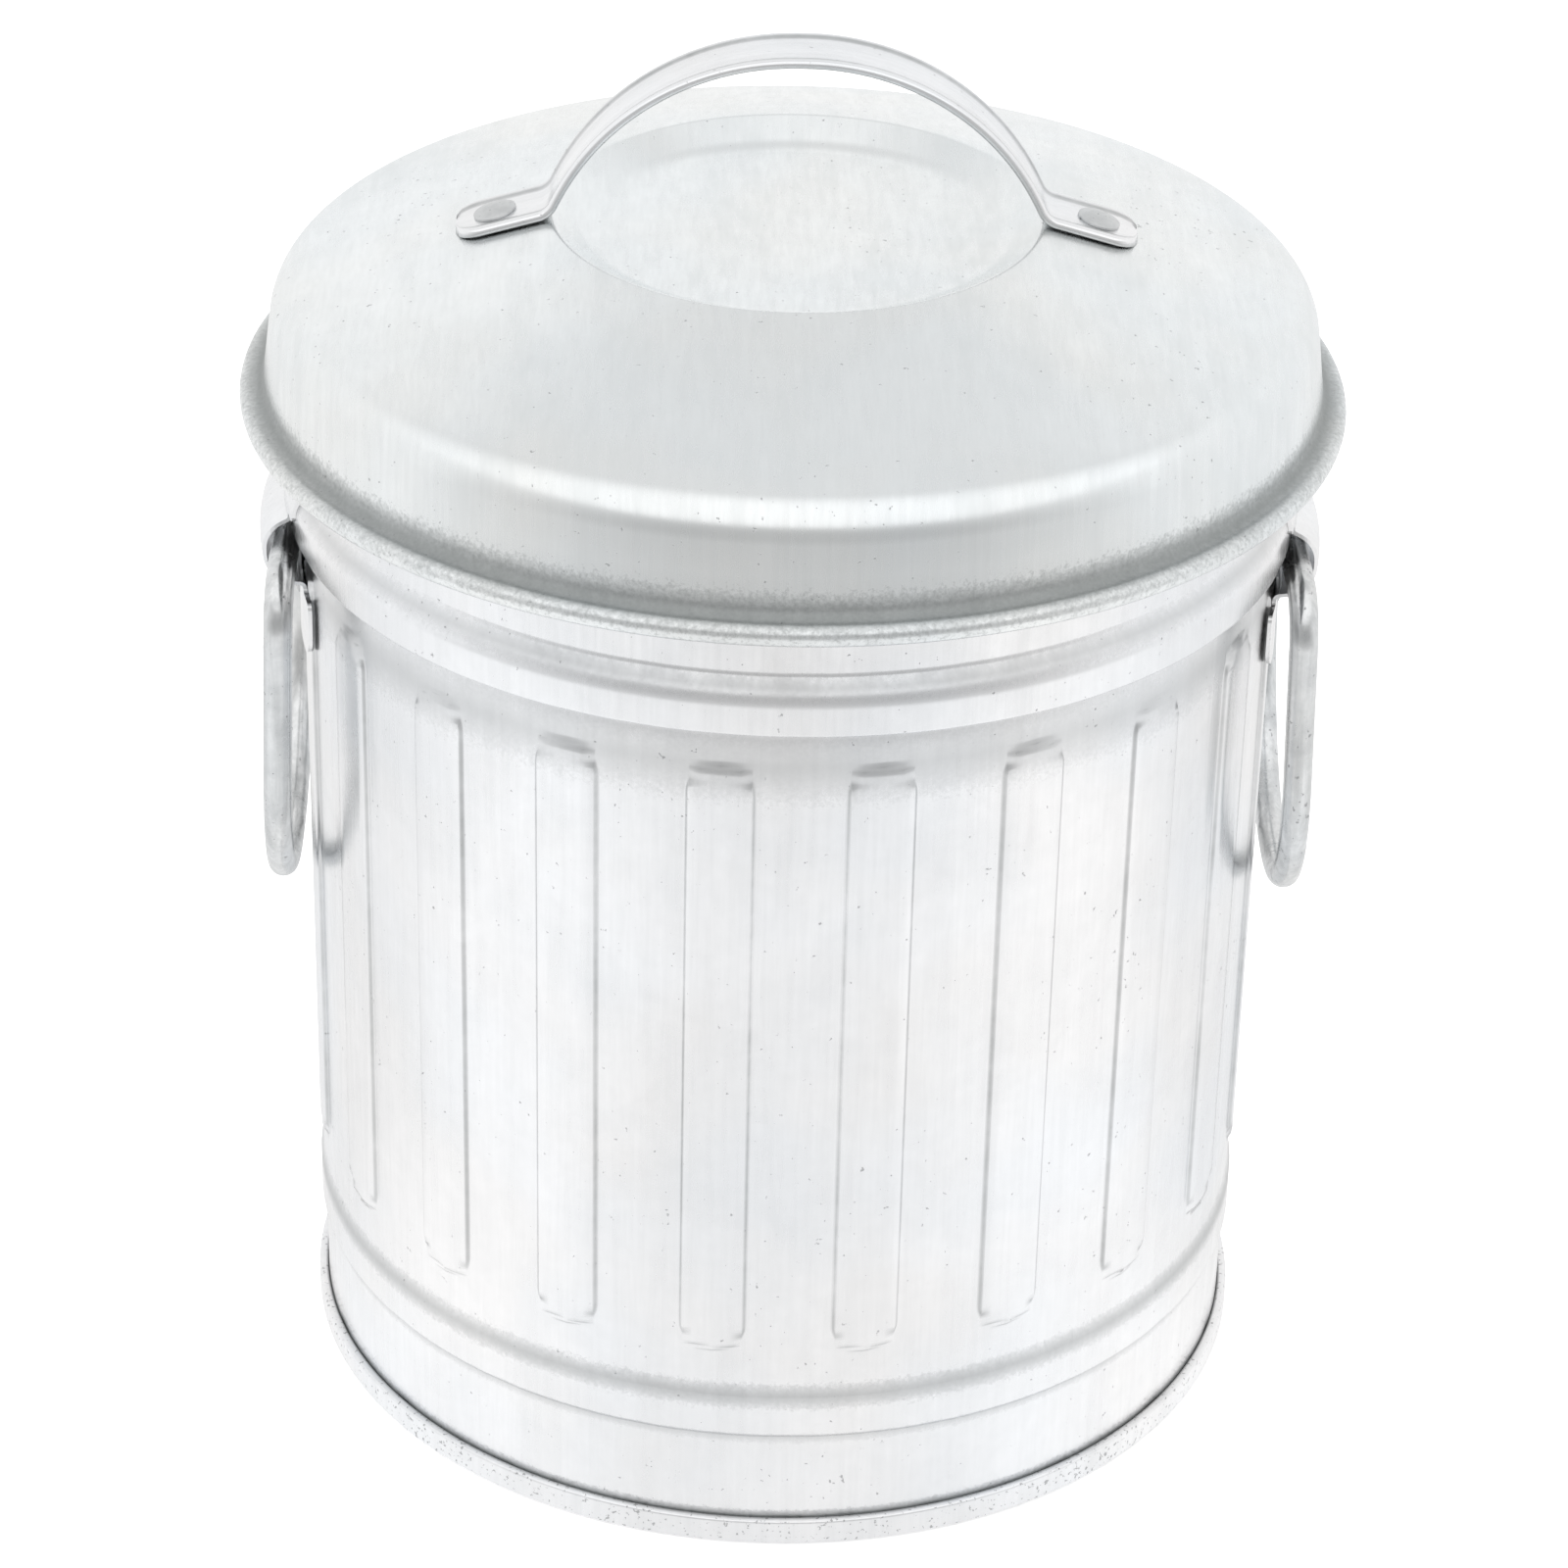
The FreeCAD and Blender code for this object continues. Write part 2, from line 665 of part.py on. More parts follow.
def ring_handle(name, side):
    """One wire bent to a D, its butt joint in the bar that turns in the ear."""
    body = doc.addObject("PartDesign::Body", name)
    half, drop = size("ring_half_width"), -size("ring_drop")
    bend, bottom = size("ring_corner"), size("ring_half_width") - size("ring_bottom_flat")
    path = body_sketch(body, name + "_path", "YZ_Plane", [
        (0, 0, None),
        (half, 0, bend),
        (half, drop, bottom),
        (-half, drop, bottom),
        (-half, 0, bend),
        (-size("ring_butt_gap"), 0, None),
    ])
    section = body.newObject("Sketcher::SketchObject", name + "_section")
    section.AttachmentSupport = ([item for item in body.Origin.OriginFeatures
                                  if item.Role == "XZ_Plane"][0], "")
    section.MapMode = "FlatFace"
    section.addGeometry(Part.Circle(Vector(0, 0, 0), Vector(0, 0, 1), wire.value))
    section.addConstraint([Sketcher.Constraint("Coincident", 0, 3, -1, 1),
                           Sketcher.Constraint("Radius", 0, wire.value)])
    section.setExpression("Constraints[1]", wire.formula)
    doc.recompute()
    pipe = body.newObject("PartDesign::AdditivePipe", name + "_wire")
    pipe.Profile = section
    pipe.Spine = (path, ["Edge%d" % (index + 1) for index in range(len(path.Shape.Edges))])
    along_axis(body, pivot_radius, pivot_height, -size("ring_lean"), side)
    return node(body, name)


for side_name, side in SIDES.items():
    ring_handle(side_name + "_ring_handle", side)


# ---------------------------------------------------------------- lid

dish_floor = lid_top(dish) - size("lid_dish_depth")
lid_line = free_sketch("lid_line", UPRIGHT, [
    (0, dish_floor, None),
    (dish - size("lid_dish_wall"), dish_floor, size("lid_dish_round")),
    (dish, lid_top(dish), size("lid_dish_edge")),
    (shoulder, shoulder_height, shoulder_round),
    (skirt, rim_top, least(size("lid_skirt_round"), size("lid_flange"))),
    (skirt + size("lid_flange"), rim_top, None),
], roll=size("lid_roll"))
spun_lid = spun_sheet("spun_lid", lid_line, -sheet_t)

strap_t = size("strap_sheet")
hem_depth = strap_t * 2
rivet_across = size("lid_rivet_at")
rivet_rise = hem_depth + size("strap_seat") - size("strap_dip")
rivet_seat = rivet_across + sine(slope) * rivet_rise
rivet_height = lid_top(rivet_across) + cosine(slope) * rivet_rise
lid_holes = []
for side_name, side in SIDES.items():
    title = side_name + "_lid_rivet"
    rivet(title, size("lid_rivet_head"), size("lid_rivet_dome"), rivet_rise + sheet_t + level,
          rivet_seat, rivet_height, slope, side)
    lid_holes.append(drill(title + "_hole", rivet_seat, rivet_height, slope, side))
lid_cuts = doc.addObject("Part::Compound", "lid_cuts")
lid_cuts.Links = lid_holes
node(boolean("Part::Cut", "lid", spun_lid, lid_cuts), "lid_pan")


# ---------------------------------------------------------------- lid: strap handle

strap_half = size("strap_width") / 2
strap_top = lid_top(dish) + size("strap_height")
leg = size("strap_leg")
reach, tip = size("strap_reach"), size("strap_tip_corner")


def strap_line(depth):
    """The strap seen from the side: arch, two legs and two feet, at a depth under its top."""
    top = strap_top - depth
    start = size("strap_crown") + (size("strap_arch_radius") - depth) * tangent(leg / 2)
    rise = (hem_depth - depth + size("strap_seat")) / cosine(slope)
    length = (top - lid_top(start) - rise) / (sine(leg) - cosine(leg) * tangent(slope))
    right = [
        (start, top, size("strap_arch_radius") - depth),
        (start + length * cosine(leg), top - length * sine(leg), size("strap_bend") + depth),
        (reach + tip, lid_top(reach + tip) + rise, None),
    ]
    return [(-x, z, r) for x, z, r in reversed(right)] + right


def strap_layer(name, start, depth, half_width):
    """A bar along the strap, from a depth under its top, so deep and so wide."""
    layer = doc.addObject("Part::Extrusion", name)
    low_side = list(reversed(strap_line(start + depth)))
    layer.Base = free_sketch(name + "_side", UPRIGHT, strap_line(start) + low_side, closed=True)
    layer.DirMode = "Custom"
    layer.Dir = Vector(0, 1, 0)
    layer.Solid = True
    layer.Symmetric = True
    bind(layer, LengthFwd=half_width * 2)
    return layer


strap_blank = free_sketch("strap_blank", Placement(), [
    (-reach, -strap_half, tip), (reach, -strap_half, tip), (reach, strap_half, tip),
    (-reach, strap_half, tip)], closed=True)
strap_stamp = doc.addObject("Part::Extrusion", "strap_stamp")
strap_stamp.Base = strap_blank
strap_stamp.DirMode = "Custom"
strap_stamp.Dir = Vector(0, 0, 1)
strap_stamp.Solid = True
bind(strap_stamp, LengthFwd=strap_top * 2)
hem_edge = strap_half - size("strap_hem")
dip = size("strap_dip")
strap_bar = strap_layer("strap_bar", Size.of(0), hem_depth, strap_half)
strap_cuts = doc.addObject("Part::MultiFuse", "strap_cuts")
strap_cuts.Shapes = [
    strap_layer("strap_hollow", strap_t + dip, hem_depth, hem_edge),
    strap_layer("strap_dip", -dip, dip * 2, hem_edge - strap_t / 2),
] + lid_holes
formed_strap = boolean("Part::Common", "formed_strap", strap_bar, strap_stamp)
node(boolean("Part::Cut", "drilled_strap", formed_strap, strap_cuts), "lid_handle")


# ---------------------------------------------------------------- check and write

doc.recompute()
for thing in doc.Objects:
    if "Invalid" in thing.State or "Error" in thing.State:
        raise RuntimeError("%s failed: %s" % (thing.Label, thing.State))
os.makedirs("parts", exist_ok=True)
for thing in nodes:
    shape = thing.Shape
    if shape.isNull() or not shape.isValid() or not shape.Solids:
        raise RuntimeError("%s has no sound solid" % thing.Label)
    shape.exportStep("parts/%s.step" % thing.Label)
    print("%-24s %d solid  %9.1f mm3" % (thing.Label, len(shape.Solids), shape.Volume))
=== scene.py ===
from math import acos, atan2, cos, pi, radians, sin, tan

import bmesh
import bpy
import numpy as np
from bpy.props import FloatProperty, FloatVectorProperty, IntProperty, PointerProperty
from mathutils import Matrix, Vector


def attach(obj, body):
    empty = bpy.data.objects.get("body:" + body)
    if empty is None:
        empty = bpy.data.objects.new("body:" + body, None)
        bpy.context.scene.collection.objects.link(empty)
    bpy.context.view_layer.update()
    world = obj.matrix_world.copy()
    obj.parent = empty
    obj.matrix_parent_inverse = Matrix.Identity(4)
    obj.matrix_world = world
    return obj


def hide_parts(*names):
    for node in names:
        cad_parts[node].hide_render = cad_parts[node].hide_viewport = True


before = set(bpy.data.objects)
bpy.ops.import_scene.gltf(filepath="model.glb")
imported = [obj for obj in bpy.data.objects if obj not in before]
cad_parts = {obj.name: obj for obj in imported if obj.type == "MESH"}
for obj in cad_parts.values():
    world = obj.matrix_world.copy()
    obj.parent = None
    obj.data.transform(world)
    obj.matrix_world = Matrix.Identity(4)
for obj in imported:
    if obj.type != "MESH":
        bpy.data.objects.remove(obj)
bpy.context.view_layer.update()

bl_info = {
    "name": "Galvanized Trash Can",
    "version": (1, 0, 0),
    "blender": (4, 5, 0),
    "location": "View3D > Sidebar > Trash Can",
    "description": "Sheet, wire and rivets of a small galvanized can with lid, with their zinc finishes",
    "category": "Object",
}

SIDES = {"left": -1, "right": 1}


# ---- sizes and colours

def length(name, description, default):
    return FloatProperty(name=name, description=description, default=default, unit="LENGTH", precision=5)


def angle(name, description, degrees):
    return FloatProperty(name=name, description=description, default=radians(degrees), subtype="ANGLE")


def colour(name, description, default):
    return FloatVectorProperty(name=name, description=description, default=default, subtype="COLOR",
                               min=0, max=1)


class CanSizes(bpy.types.PropertyGroup):
    """The can: wall, ribs, bottom seam and mouth."""
    sheet: length("Sheet", "Thickness of the wall, bottom and lid", 0.0005)
    gap: length("Seam gap", "Air between folded layers", 0.00003)
    foot: length("Foot radius", "Outside of the wall above the seam", 0.0769)
    seam_height: length("Seam height", "Height of the bottom seam", 0.0044)
    panel: length("Panel height", "Height of the bottom's panel", 0.005)
    bead_rise: length("Bead rise", "How far the low bead stands over the foot", 0.0008)
    bead_low: length("Bead height", "Lower edge of the low bead", 0.0202)
    bead_lip: length("Bead lip", "Height of the bead's lower slope", 0.0009)
    bead_step: length("Bead step", "Height of the bead's upper slope", 0.0022)
    bend: length("Bends", "Outside radius of the small bends", 0.0007)
    barrel_rise: length("Barrel rise", "How far the barrel's foot stands over the can's foot", 0.0003)
    barrel_low: length("Barrel foot", "Lower end of the barrel", 0.0305)
    barrel_high: length("Barrel top", "Upper end of the barrel", 0.1494)
    barrel_flare: length("Barrel flare", "How much wider the barrel is at its top", 0.0004)
    rib_count: IntProperty(name="Ribs", description="Pressed ribs round the can", default=20, min=3)
    rib_turn: angle("Rib turn", "How far the ribs are turned about the can from their even place", 0.7)
    rib_width: length("Rib width", "Across the foot of a rib's slope", 0.0109)
    rib_height: length("Rib height", "How far the ribs stand out", 0.0006)
    rib_slope: length("Rib slope", "Width of the slope round a rib", 0.0007)
    rib_low: length("Rib low end", "Height of the ribs' low end", 0.0365)
    rib_high: length("Rib high end", "Height of the ribs' high end", 0.1438)
    throat: length("Throat", "Height of the barrel's drawn-in top", 0.006)
    throat_lean: angle("Throat lean", "How far the throat leans in at the swage", 8)
    swage: length("Swage rise", "How far the swage stands over the barrel", 0.0027)
    swage_lip: length("Swage lip", "Height of the swage's underside", 0.0006)
    swage_band: length("Swage band", "Height of the swage's band", 0.006)
    swage_back: angle("Swage back", "Slope of the back of the swage from upright", 36.4)
    brow: length("Swage brow", "Bend radius between the band and the back", 0.0044)
    neck: length("Neck rise", "How far the neck stands over the barrel", 0.0003)
    mouth: length("Mouth height", "Top of the rolled mouth", 0.186305)
    roll: length("Mouth roll", "Inside radius of the rolled mouth", 0.00125)
    lock_width: length("Lock seam width", "Width of the seam down the back", 0.007)
    lock_height: length("Lock seam height", "How far the seam down the back stands out", 0.0007)
    lock_slope: length("Lock seam slope", "Width of the slope beside the seam down the back", 0.0006)


class LidSizes(bpy.types.PropertyGroup):
    """The lid sheet and its strap."""
    shoulder: length("Shoulder", "Radius of the shoulder's corner", 0.0819)
    shoulder_height: length("Shoulder height", "Height of the shoulder's corner", 0.187437)
    shoulder_round: length("Shoulder rounding", "Radius of the shoulder's bend", 0.007)
    slope: angle("Slope", "Slope of the lid's cone", 16)
    flare: angle("Flare", "Lean of the skirt", 7)
    skirt: length("Skirt", "Height of the skirt", 0.0156)
    flange: length("Flange", "Width of the flat between skirt and curl", 0.002)
    curl: length("Curl", "Outside radius of the curled rim", 0.0017)
    dish: length("Dish radius", "Radius of the edge of the dish", 0.0385)
    dish_depth: length("Dish depth", "Depth of the dish", 0.0034)
    dish_slope: length("Dish slope", "Width of the slope round the dish", 0.0062)
    dish_bend: length("Dish bend", "Bend radius at the foot of the dish's slope", 0.008)
    dish_lip: length("Dish lip", "Bend radius at the edge of the dish", 0.0012)
    strap_width: length("Strap width", "Width of the strap", 0.0125)
    strap_sheet: length("Strap sheet", "Thickness of the strap's sheet", 0.0007)
    strap_height: length("Strap height", "Top of the strap over the lid", 0.027)
    strap_arch: length("Strap arch", "Radius of the strap's arch", 0.0414)
    strap_reach: length("Strap reach", "From the middle to a tip of the strap", 0.0532)
    strap_leg: angle("Strap legs", "Steepness of the strap's legs", 64)
    strap_corner: length("Strap tips", "Corner radius of the strap's tips", 0.0042)
    strap_dip: length("Strap dip", "How far the strap's middle lies under its edges", 0.0003)
    strap_hem: length("Strap hem", "Width of the folded edges", 0.0015)
    strap_seat: length("Strap seat", "Air between strap and lid", 0.00008)
    rivet_at: length("Strap rivets", "From the middle to a rivet of the strap", 0.0468)
    rivet_head: length("Rivet head", "Radius of a strap rivet's head", 0.0034)


class HandleSizes(bpy.types.PropertyGroup):
    """The drop rings and their ears."""
    wire: length("Wire", "Radius of the ring's wire", 0.0023)
    half_width: length("Ring half width", "Half the width of a ring", 0.030)
    drop: length("Ring drop", "How far a ring hangs down", 0.0606)
    corner: length("Ring corners", "Bend radius of a ring's upper corners", 0.007)
    lean: angle("Ring lean", "How far a ring hangs out from upright", 1.5)
    pivot: length("Pivot", "Distance of a ring's bar from the can's axis", 0.08022)
    pivot_height: length("Pivot height", "Height of a ring's bar", 0.1464)
    ear_sheet: length("Ear sheet", "Thickness of the ears", 0.0006)
    ear_seat: length("Ear seat", "Air between ear and wall", 0.00002)
    ear_width: length("Ear half width", "Half the width of an ear's flanges", 0.0195)
    hood_width: length("Hood half width", "Half the width of an ear's hood", 0.015)
    ear_low: length("Ear low end", "Lower end of an ear", 0.1292)
    ear_high: length("Ear high end", "Upper end of an ear", 0.166655)
    ear_corner: length("Ear corners", "Radius of an ear's lower corners", 0.004)
    ear_top_corner: length("Ear top corners", "Radius of an ear's upper corners", 0.0024)
    notch_round: length("Ear notches", "Radius where the hood narrows", 0.0012)
    low_rivet: length("Lower rivet", "From an ear's lower end to its rivet", 0.005)
    high_rivet: length("Upper rivet", "From an ear's upper end to its rivet", 0.0042)
    rivet_head: length("Ear rivet head", "Radius of an ear rivet's head", 0.0025)
    hood_depth: length("Hood depth", "From the pivot out to the hood", 0.00475)
    hood_drop: length("Hood drop", "From the pivot down to the hood's floor", 0.006)
    hood_rise: length("Hood rise", "From the pivot up to the foot of the hood's roof", 0.0059)
    hood_round: length("Hood rounding", "Bend radius of the hood", 0.0054)
    roof: angle("Hood roof", "Slope of the hood's roof", 30)


class ZincColours(bpy.types.PropertyGroup):
    """Colours and gloss of the zinc."""
    sheet_light: colour("Sheet, light", "Bright zinc of the sheets", (0.938, 0.938, 0.952))
    sheet_dark: colour("Sheet, dark", "Cloudy zinc of the sheets", (0.870, 0.872, 0.885))
    lid_light: colour("Lid, light", "Bright zinc of the lid", (0.93, 0.945, 0.95))
    lid_dark: colour("Lid, dark", "Cloudy zinc of the lid", (0.85, 0.87, 0.875))
    wire_light: colour("Wire, light", "Bright zinc of the rings", (0.86, 0.865, 0.87))
    wire_dark: colour("Wire, dark", "Dull zinc of the rings", (0.66, 0.67, 0.68))
    rivet_light: colour("Rivet, light", "Bright zinc of the rivets", (0.74, 0.75, 0.755))
    rivet_dark: colour("Rivet, dark", "Dull zinc of the rivets", (0.56, 0.57, 0.58))
    speck: colour("Specks", "Dark specks and scuffs", (0.20, 0.205, 0.21))
    # Grey of the drawn lines, of the painted shade in folds and corners of the wall and strap, and of the
    # lid's darker bands
    grain_and_shade_grey: colour("Grain_and_shade_grey", "Dull grey in folds and corners", (0.26, 0.275, 0.272))
    gloss: FloatProperty(name="Roughness", description="Roughness of bright zinc", default=0.24, min=0, max=1,
                         subtype="FACTOR")


# ---- lines and surfaces

def rounded(corners, steps):
    """A line through corners (x, y, radius). A corner with a radius becomes the arc that meets both
    of its runs at radius * tan(half the turn) from the corner."""
    spots = [np.array(corner[:2], float) for corner in corners]
    parts = []
    for before, here, after, corner in zip(spots[:1] + spots, spots, spots[1:] + spots[-1:], corners):
        radius = corner[2]
        if not radius:
            parts.append(here[None])
            continue
        back = (before - here) / np.linalg.norm(before - here)
        ahead = (after - here) / np.linalg.norm(after - here)
        half_turn = (pi - acos(np.clip(back @ ahead, -1, 1))) / 2
        middle = (back + ahead) / np.linalg.norm(back + ahead)
        centre = here + middle * radius / cos(half_turn)
        first = here + back * radius * tan(half_turn) - centre
        last = here + ahead * radius * tan(half_turn) - centre
        start = atan2(first[1], first[0])
        sweep = (atan2(last[1], last[0]) - start + pi) % (2 * pi) - pi
        turn = start + sweep * np.linspace(0, 1, steps)
        parts.append(centre + radius * np.stack([np.cos(turn), np.sin(turn)], axis=1))
    return np.concatenate(parts)


def curled(line, radius, steps):
    """The line, then three quarters of a circle to its right: a curled sheet edge."""
    along = (line[-1] - line[-2]) / np.linalg.norm(line[-1] - line[-2])
    right = np.array((along[1], -along[0]))
    turn = np.linspace(0, 1.5 * pi, steps + 1)[1:, None]
    return np.vstack([line, line[-1] + right * radius * (1 - np.cos(turn)) + along * radius * np.sin(turn)])


def offset(line, distance):
    """The line moved to its left: each point goes along the sum of the two normals beside it,
    divided by one plus their dot product, which keeps the distance from both runs."""
    step = np.diff(line, axis=0)
    normal = np.stack([-step[:, 1], step[:, 0]], axis=1) / np.linalg.norm(step, axis=1)[:, None]
    before, after = np.vstack([normal[:1], normal]), np.vstack([normal, normal[-1:]])
    return line + distance * (before + after) / (1 + (before * after).sum(axis=1))[:, None]


def finer(line, longest):
    """The line with more points on its long runs: each run is cut into equal parts under a length."""
    run_length = np.linalg.norm(np.diff(line, axis=0), axis=1)
    parts = np.maximum(1, np.ceil(run_length / longest - 1e-6)).astype(int)
    run = np.repeat(np.arange(len(parts)), parts)
    part = (np.arange(len(run)) - np.repeat(np.cumsum(parts) - parts, parts)) / parts[run]
    return np.vstack([line[run] + (line[run + 1] - line[run]) * part[:, None], line[-1:]])


def step_up(value):
    """A smooth step from 0 to 1: 3v^2 - 2v^3, with v held between 0 and 1."""
    value = np.clip(value, 0, 1)
    return value * value * (3 - 2 * value)


def spun(section, angles):
    """A section of (radius, height) turned about Z: x = r sin a, y = -r cos a, so angle 0 is the front."""
    radius, height = section[:, :1], section[:, 1:]
    return np.stack([radius * np.sin(angles), -radius * np.cos(angles), height + 0 * angles], axis=-1)


def round_angles(sides):
    return np.arange(sides) * (2 * pi / sides)


def tube(path, radius, sides):
    """A round bar along a path in the YZ plane: path + r (cos a * normal + sin a * X)."""
    step = np.gradient(path, axis=0)
    normal = np.stack([-step[:, 1], step[:, 0]], axis=1) / np.linalg.norm(step, axis=1)[:, None]
    turn = round_angles(sides)
    across = radius * np.cos(turn)
    return np.stack([np.broadcast_to(radius * np.sin(turn), (len(path), sides)),
                     path[:, :1] + across * normal[:, :1],
                     path[:, 1:] + across * normal[:, 1:]], axis=-1)


def grid_faces(shape, wrap):
    """The four corners of every square of a grid, which may close on itself along rows or columns."""
    index = np.arange(shape[0] * shape[1]).reshape(shape)
    if wrap[0]:
        index = np.vstack([index, index[:1]])
    if wrap[1]:
        index = np.hstack([index, index[:, :1]])
    return np.stack([index[:-1, :-1], index[:-1, 1:], index[1:, 1:], index[1:, :-1]], axis=-1).reshape(-1, 4)


def link(name, data):
    """An object of some data, in the scene."""
    made = bpy.data.objects.new(name, data)
    bpy.context.scene.collection.objects.link(made)
    return made


def make_piece(name, grids, material, body, stands_for, wrap=(False, True), sharp=38, crease=None):
    """One mesh of several grids: merged, turned outwards, smoothed and finished. Wrap says if rows and
    columns close on themselves. A painted shade array gives each point a value that its material reads as
    painted shade."""
    points, faces, count = [], [], 0
    for grid in grids:
        points.append(grid.reshape(-1, 3))
        faces.append(grid_faces(grid.shape[:2], wrap) + count)
        count += len(points[-1])
    mesh = bpy.data.meshes.new(name)
    mesh.from_pydata(np.concatenate(points).tolist(), [], np.concatenate(faces).tolist())
    if crease is not None:
        mesh.attributes.new("crease", "FLOAT", "POINT").data.foreach_set("value", crease.ravel())
    work = bmesh.new()
    work.from_mesh(mesh)
    bmesh.ops.remove_doubles(work, verts=work.verts, dist=1e-7)
    bmesh.ops.recalc_face_normals(work, faces=work.faces)
    work.to_mesh(mesh)
    work.free()
    mesh.shade_smooth()
    mesh.set_sharp_from_angle(angle=radians(sharp))
    mesh.materials.append(material)
    piece = link(name, mesh)
    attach(piece, body)
    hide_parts(*stands_for)


def capped(grid):
    """A tube's grid with its two ends drawn to their middles."""
    ends = [np.broadcast_to(row.mean(axis=0), row.shape)[None] for row in (grid[0], grid[-1])]
    return np.concatenate([ends[0], grid, ends[1]])


# ---- shader building

GROUPS = {}


class Shader:
    """A node tree filled by short calls. A value in a call is a number, a colour, a socket, or a node
    whose first output is meant. A kind of node is its name without ShaderNode."""

    def __init__(self, tree):
        self.tree = tree

    def node(self, kind, inputs=None, **settings):
        made = self.tree.nodes.new("ShaderNode" + kind)
        for name, value in settings.items():
            setattr(made, name, value)
        for name, value in (inputs or {}).items():
            self.put(made.inputs[name], value)
        return made

    def put(self, socket, value):
        if isinstance(value, bpy.types.Node):
            value = value.outputs[0]
        if isinstance(value, bpy.types.NodeSocket):
            self.tree.links.new(value, socket)
        elif isinstance(value, (int, float)):
            socket.default_value = value
        else:
            socket.default_value = (*value, 1.0)[:len(socket.default_value)]

    def maths(self, operation, first, second=0.0, clamp=False):
        return self.node("Math", {0: first, 1: second}, operation=operation, use_clamp=clamp)

    def spread(self, value, low, high, to_low=0.0, to_high=1.0):
        """A value's range moved to another, and held inside it."""
        return self.node("MapRange", {"Value": value, "From Min": low, "From Max": high,
                                      "To Min": to_low, "To Max": to_high}, clamp=True)

    def blend(self, factor, first, second, blend_type="MIX"):
        return self.node("Mix", {0: factor, 6: first, 7: second}, data_type="RGBA",
                         blend_type=blend_type).outputs[2]

    def noise(self, vector, scale, detail=2.0, roughness=0.5, distortion=0.0):
        return self.node("TexNoise", {"Vector": vector, "Scale": scale, "Detail": detail,
                                      "Roughness": roughness, "Distortion": distortion}).outputs["Fac"]

    def mapped(self, vector, scale, place=(0, 0, 0)):
        return self.node("Mapping", {"Vector": vector, "Location": place, "Scale": scale})

    def long(self, vector):
        """The length of a vector."""
        return self.node("VectorMath", {0: vector}, operation="LENGTH").outputs["Value"]

    def group(self, make, inputs):
        """Places a shared effect, building it the first time."""
        if make not in GROUPS:
            GROUPS[make] = make()
        return self.node("Group", inputs, node_tree=GROUPS[make]).outputs


def new_material(name):
    """A material, its shader and its surface node."""
    material = bpy.data.materials.new(name)
    material.use_nodes = True
    return material, Shader(material.node_tree), material.node_tree.nodes["Principled BSDF"]


def new_group(name, ins, outs):
    """A shader group: a vector and named numbers go in, and named values of a kind come out."""
    tree = bpy.data.node_groups.new(name, "ShaderNodeTree")
    tree.interface.new_socket("Vector", in_out="INPUT", socket_type="NodeSocketVector")
    for label, default in ins.items():
        socket = tree.interface.new_socket(label, in_out="INPUT", socket_type="NodeSocketFloat")
        socket.default_value = default
    for label, kind in outs.items():
        tree.interface.new_socket(label, in_out="OUTPUT", socket_type="NodeSocket" + kind)
    return Shader(tree), tree.nodes.new("NodeGroupInput").outputs, tree.nodes.new("NodeGroupOutput").inputs


def zinc_clouds():
    """Cloudy zinc: large soft patches with a smaller mottle in them, a faint tint, and slow dents."""
    shader, ins, outs = new_group("Zinc clouds", {"Patch Scale": 35.0, "Mottle Scale": 320.0},
                                  {"Cloud": "Float", "Tint": "Color", "Height": "Float"})
    patch = shader.noise(ins["Vector"], ins["Patch Scale"], 4.0, 0.6, 0.6)
    mottle = shader.noise(ins["Vector"], ins["Mottle Scale"], 3.0, 0.65)
    mixed = shader.maths("ADD", shader.maths("MULTIPLY", patch, 0.7), shader.maths("MULTIPLY", mottle, 0.3))
    shader.put(outs["Cloud"], shader.spread(mixed, 0.33, 0.67))
    hue = shader.noise(shader.mapped(ins["Vector"], (1, 1, 1), (3.1, 7.7, 1.3)), 24.0, 2.0)
    tint = shader.blend(shader.spread(hue, 0.40, 0.62), (0.955, 0.985, 1.0), (1.0, 0.99, 0.965))
    shader.put(outs["Tint"], shader.blend(0.5, (1, 1, 1), tint))
    shader.put(outs["Height"], shader.noise(ins["Vector"], 42.0, 1.0))
    return shader.tree


def drawn_lines():
    """Fine lines left by rolling and drawing: noise squeezed along one direction, in two sizes."""
    shader, ins, outs = new_group("Drawn lines", {"Fineness": 1.0}, {"Line": "Float", "Height": "Float"})
    fine = shader.noise(ins["Vector"], shader.maths("MULTIPLY", ins["Fineness"], 900.0), 2.0, 0.7)
    broad = shader.noise(ins["Vector"], shader.maths("MULTIPLY", ins["Fineness"], 220.0), 2.0, 0.6)
    both = shader.maths("ADD", shader.maths("MULTIPLY", fine, 0.55), shader.maths("MULTIPLY", broad, 0.45))
    shader.put(outs["Line"], shader.spread(both, 0.36, 0.64))
    shader.put(outs["Height"], fine)
    return shader.tree


def specks():
    """Dark pin specks and small scuffs: the deep ends of a fine noise, gathered where a slow one is high."""
    shader, ins, outs = new_group("Specks", {"Amount": 0.3, "Scale": 900.0}, {"Speck": "Float"})
    pin = shader.noise(ins["Vector"], ins["Scale"], 2.0, 0.6)
    where = shader.noise(ins["Vector"], 45.0, 2.0)
    level = shader.maths("SUBTRACT", 0.80, shader.maths("MULTIPLY", where, 0.16))
    level = shader.maths("SUBTRACT", level, shader.maths("MULTIPLY", ins["Amount"], 0.12))
    over = shader.maths("SUBTRACT", pin, level)
    shader.put(outs["Speck"], shader.maths("MULTIPLY", over, 22.0, clamp=True))
    return shader.tree


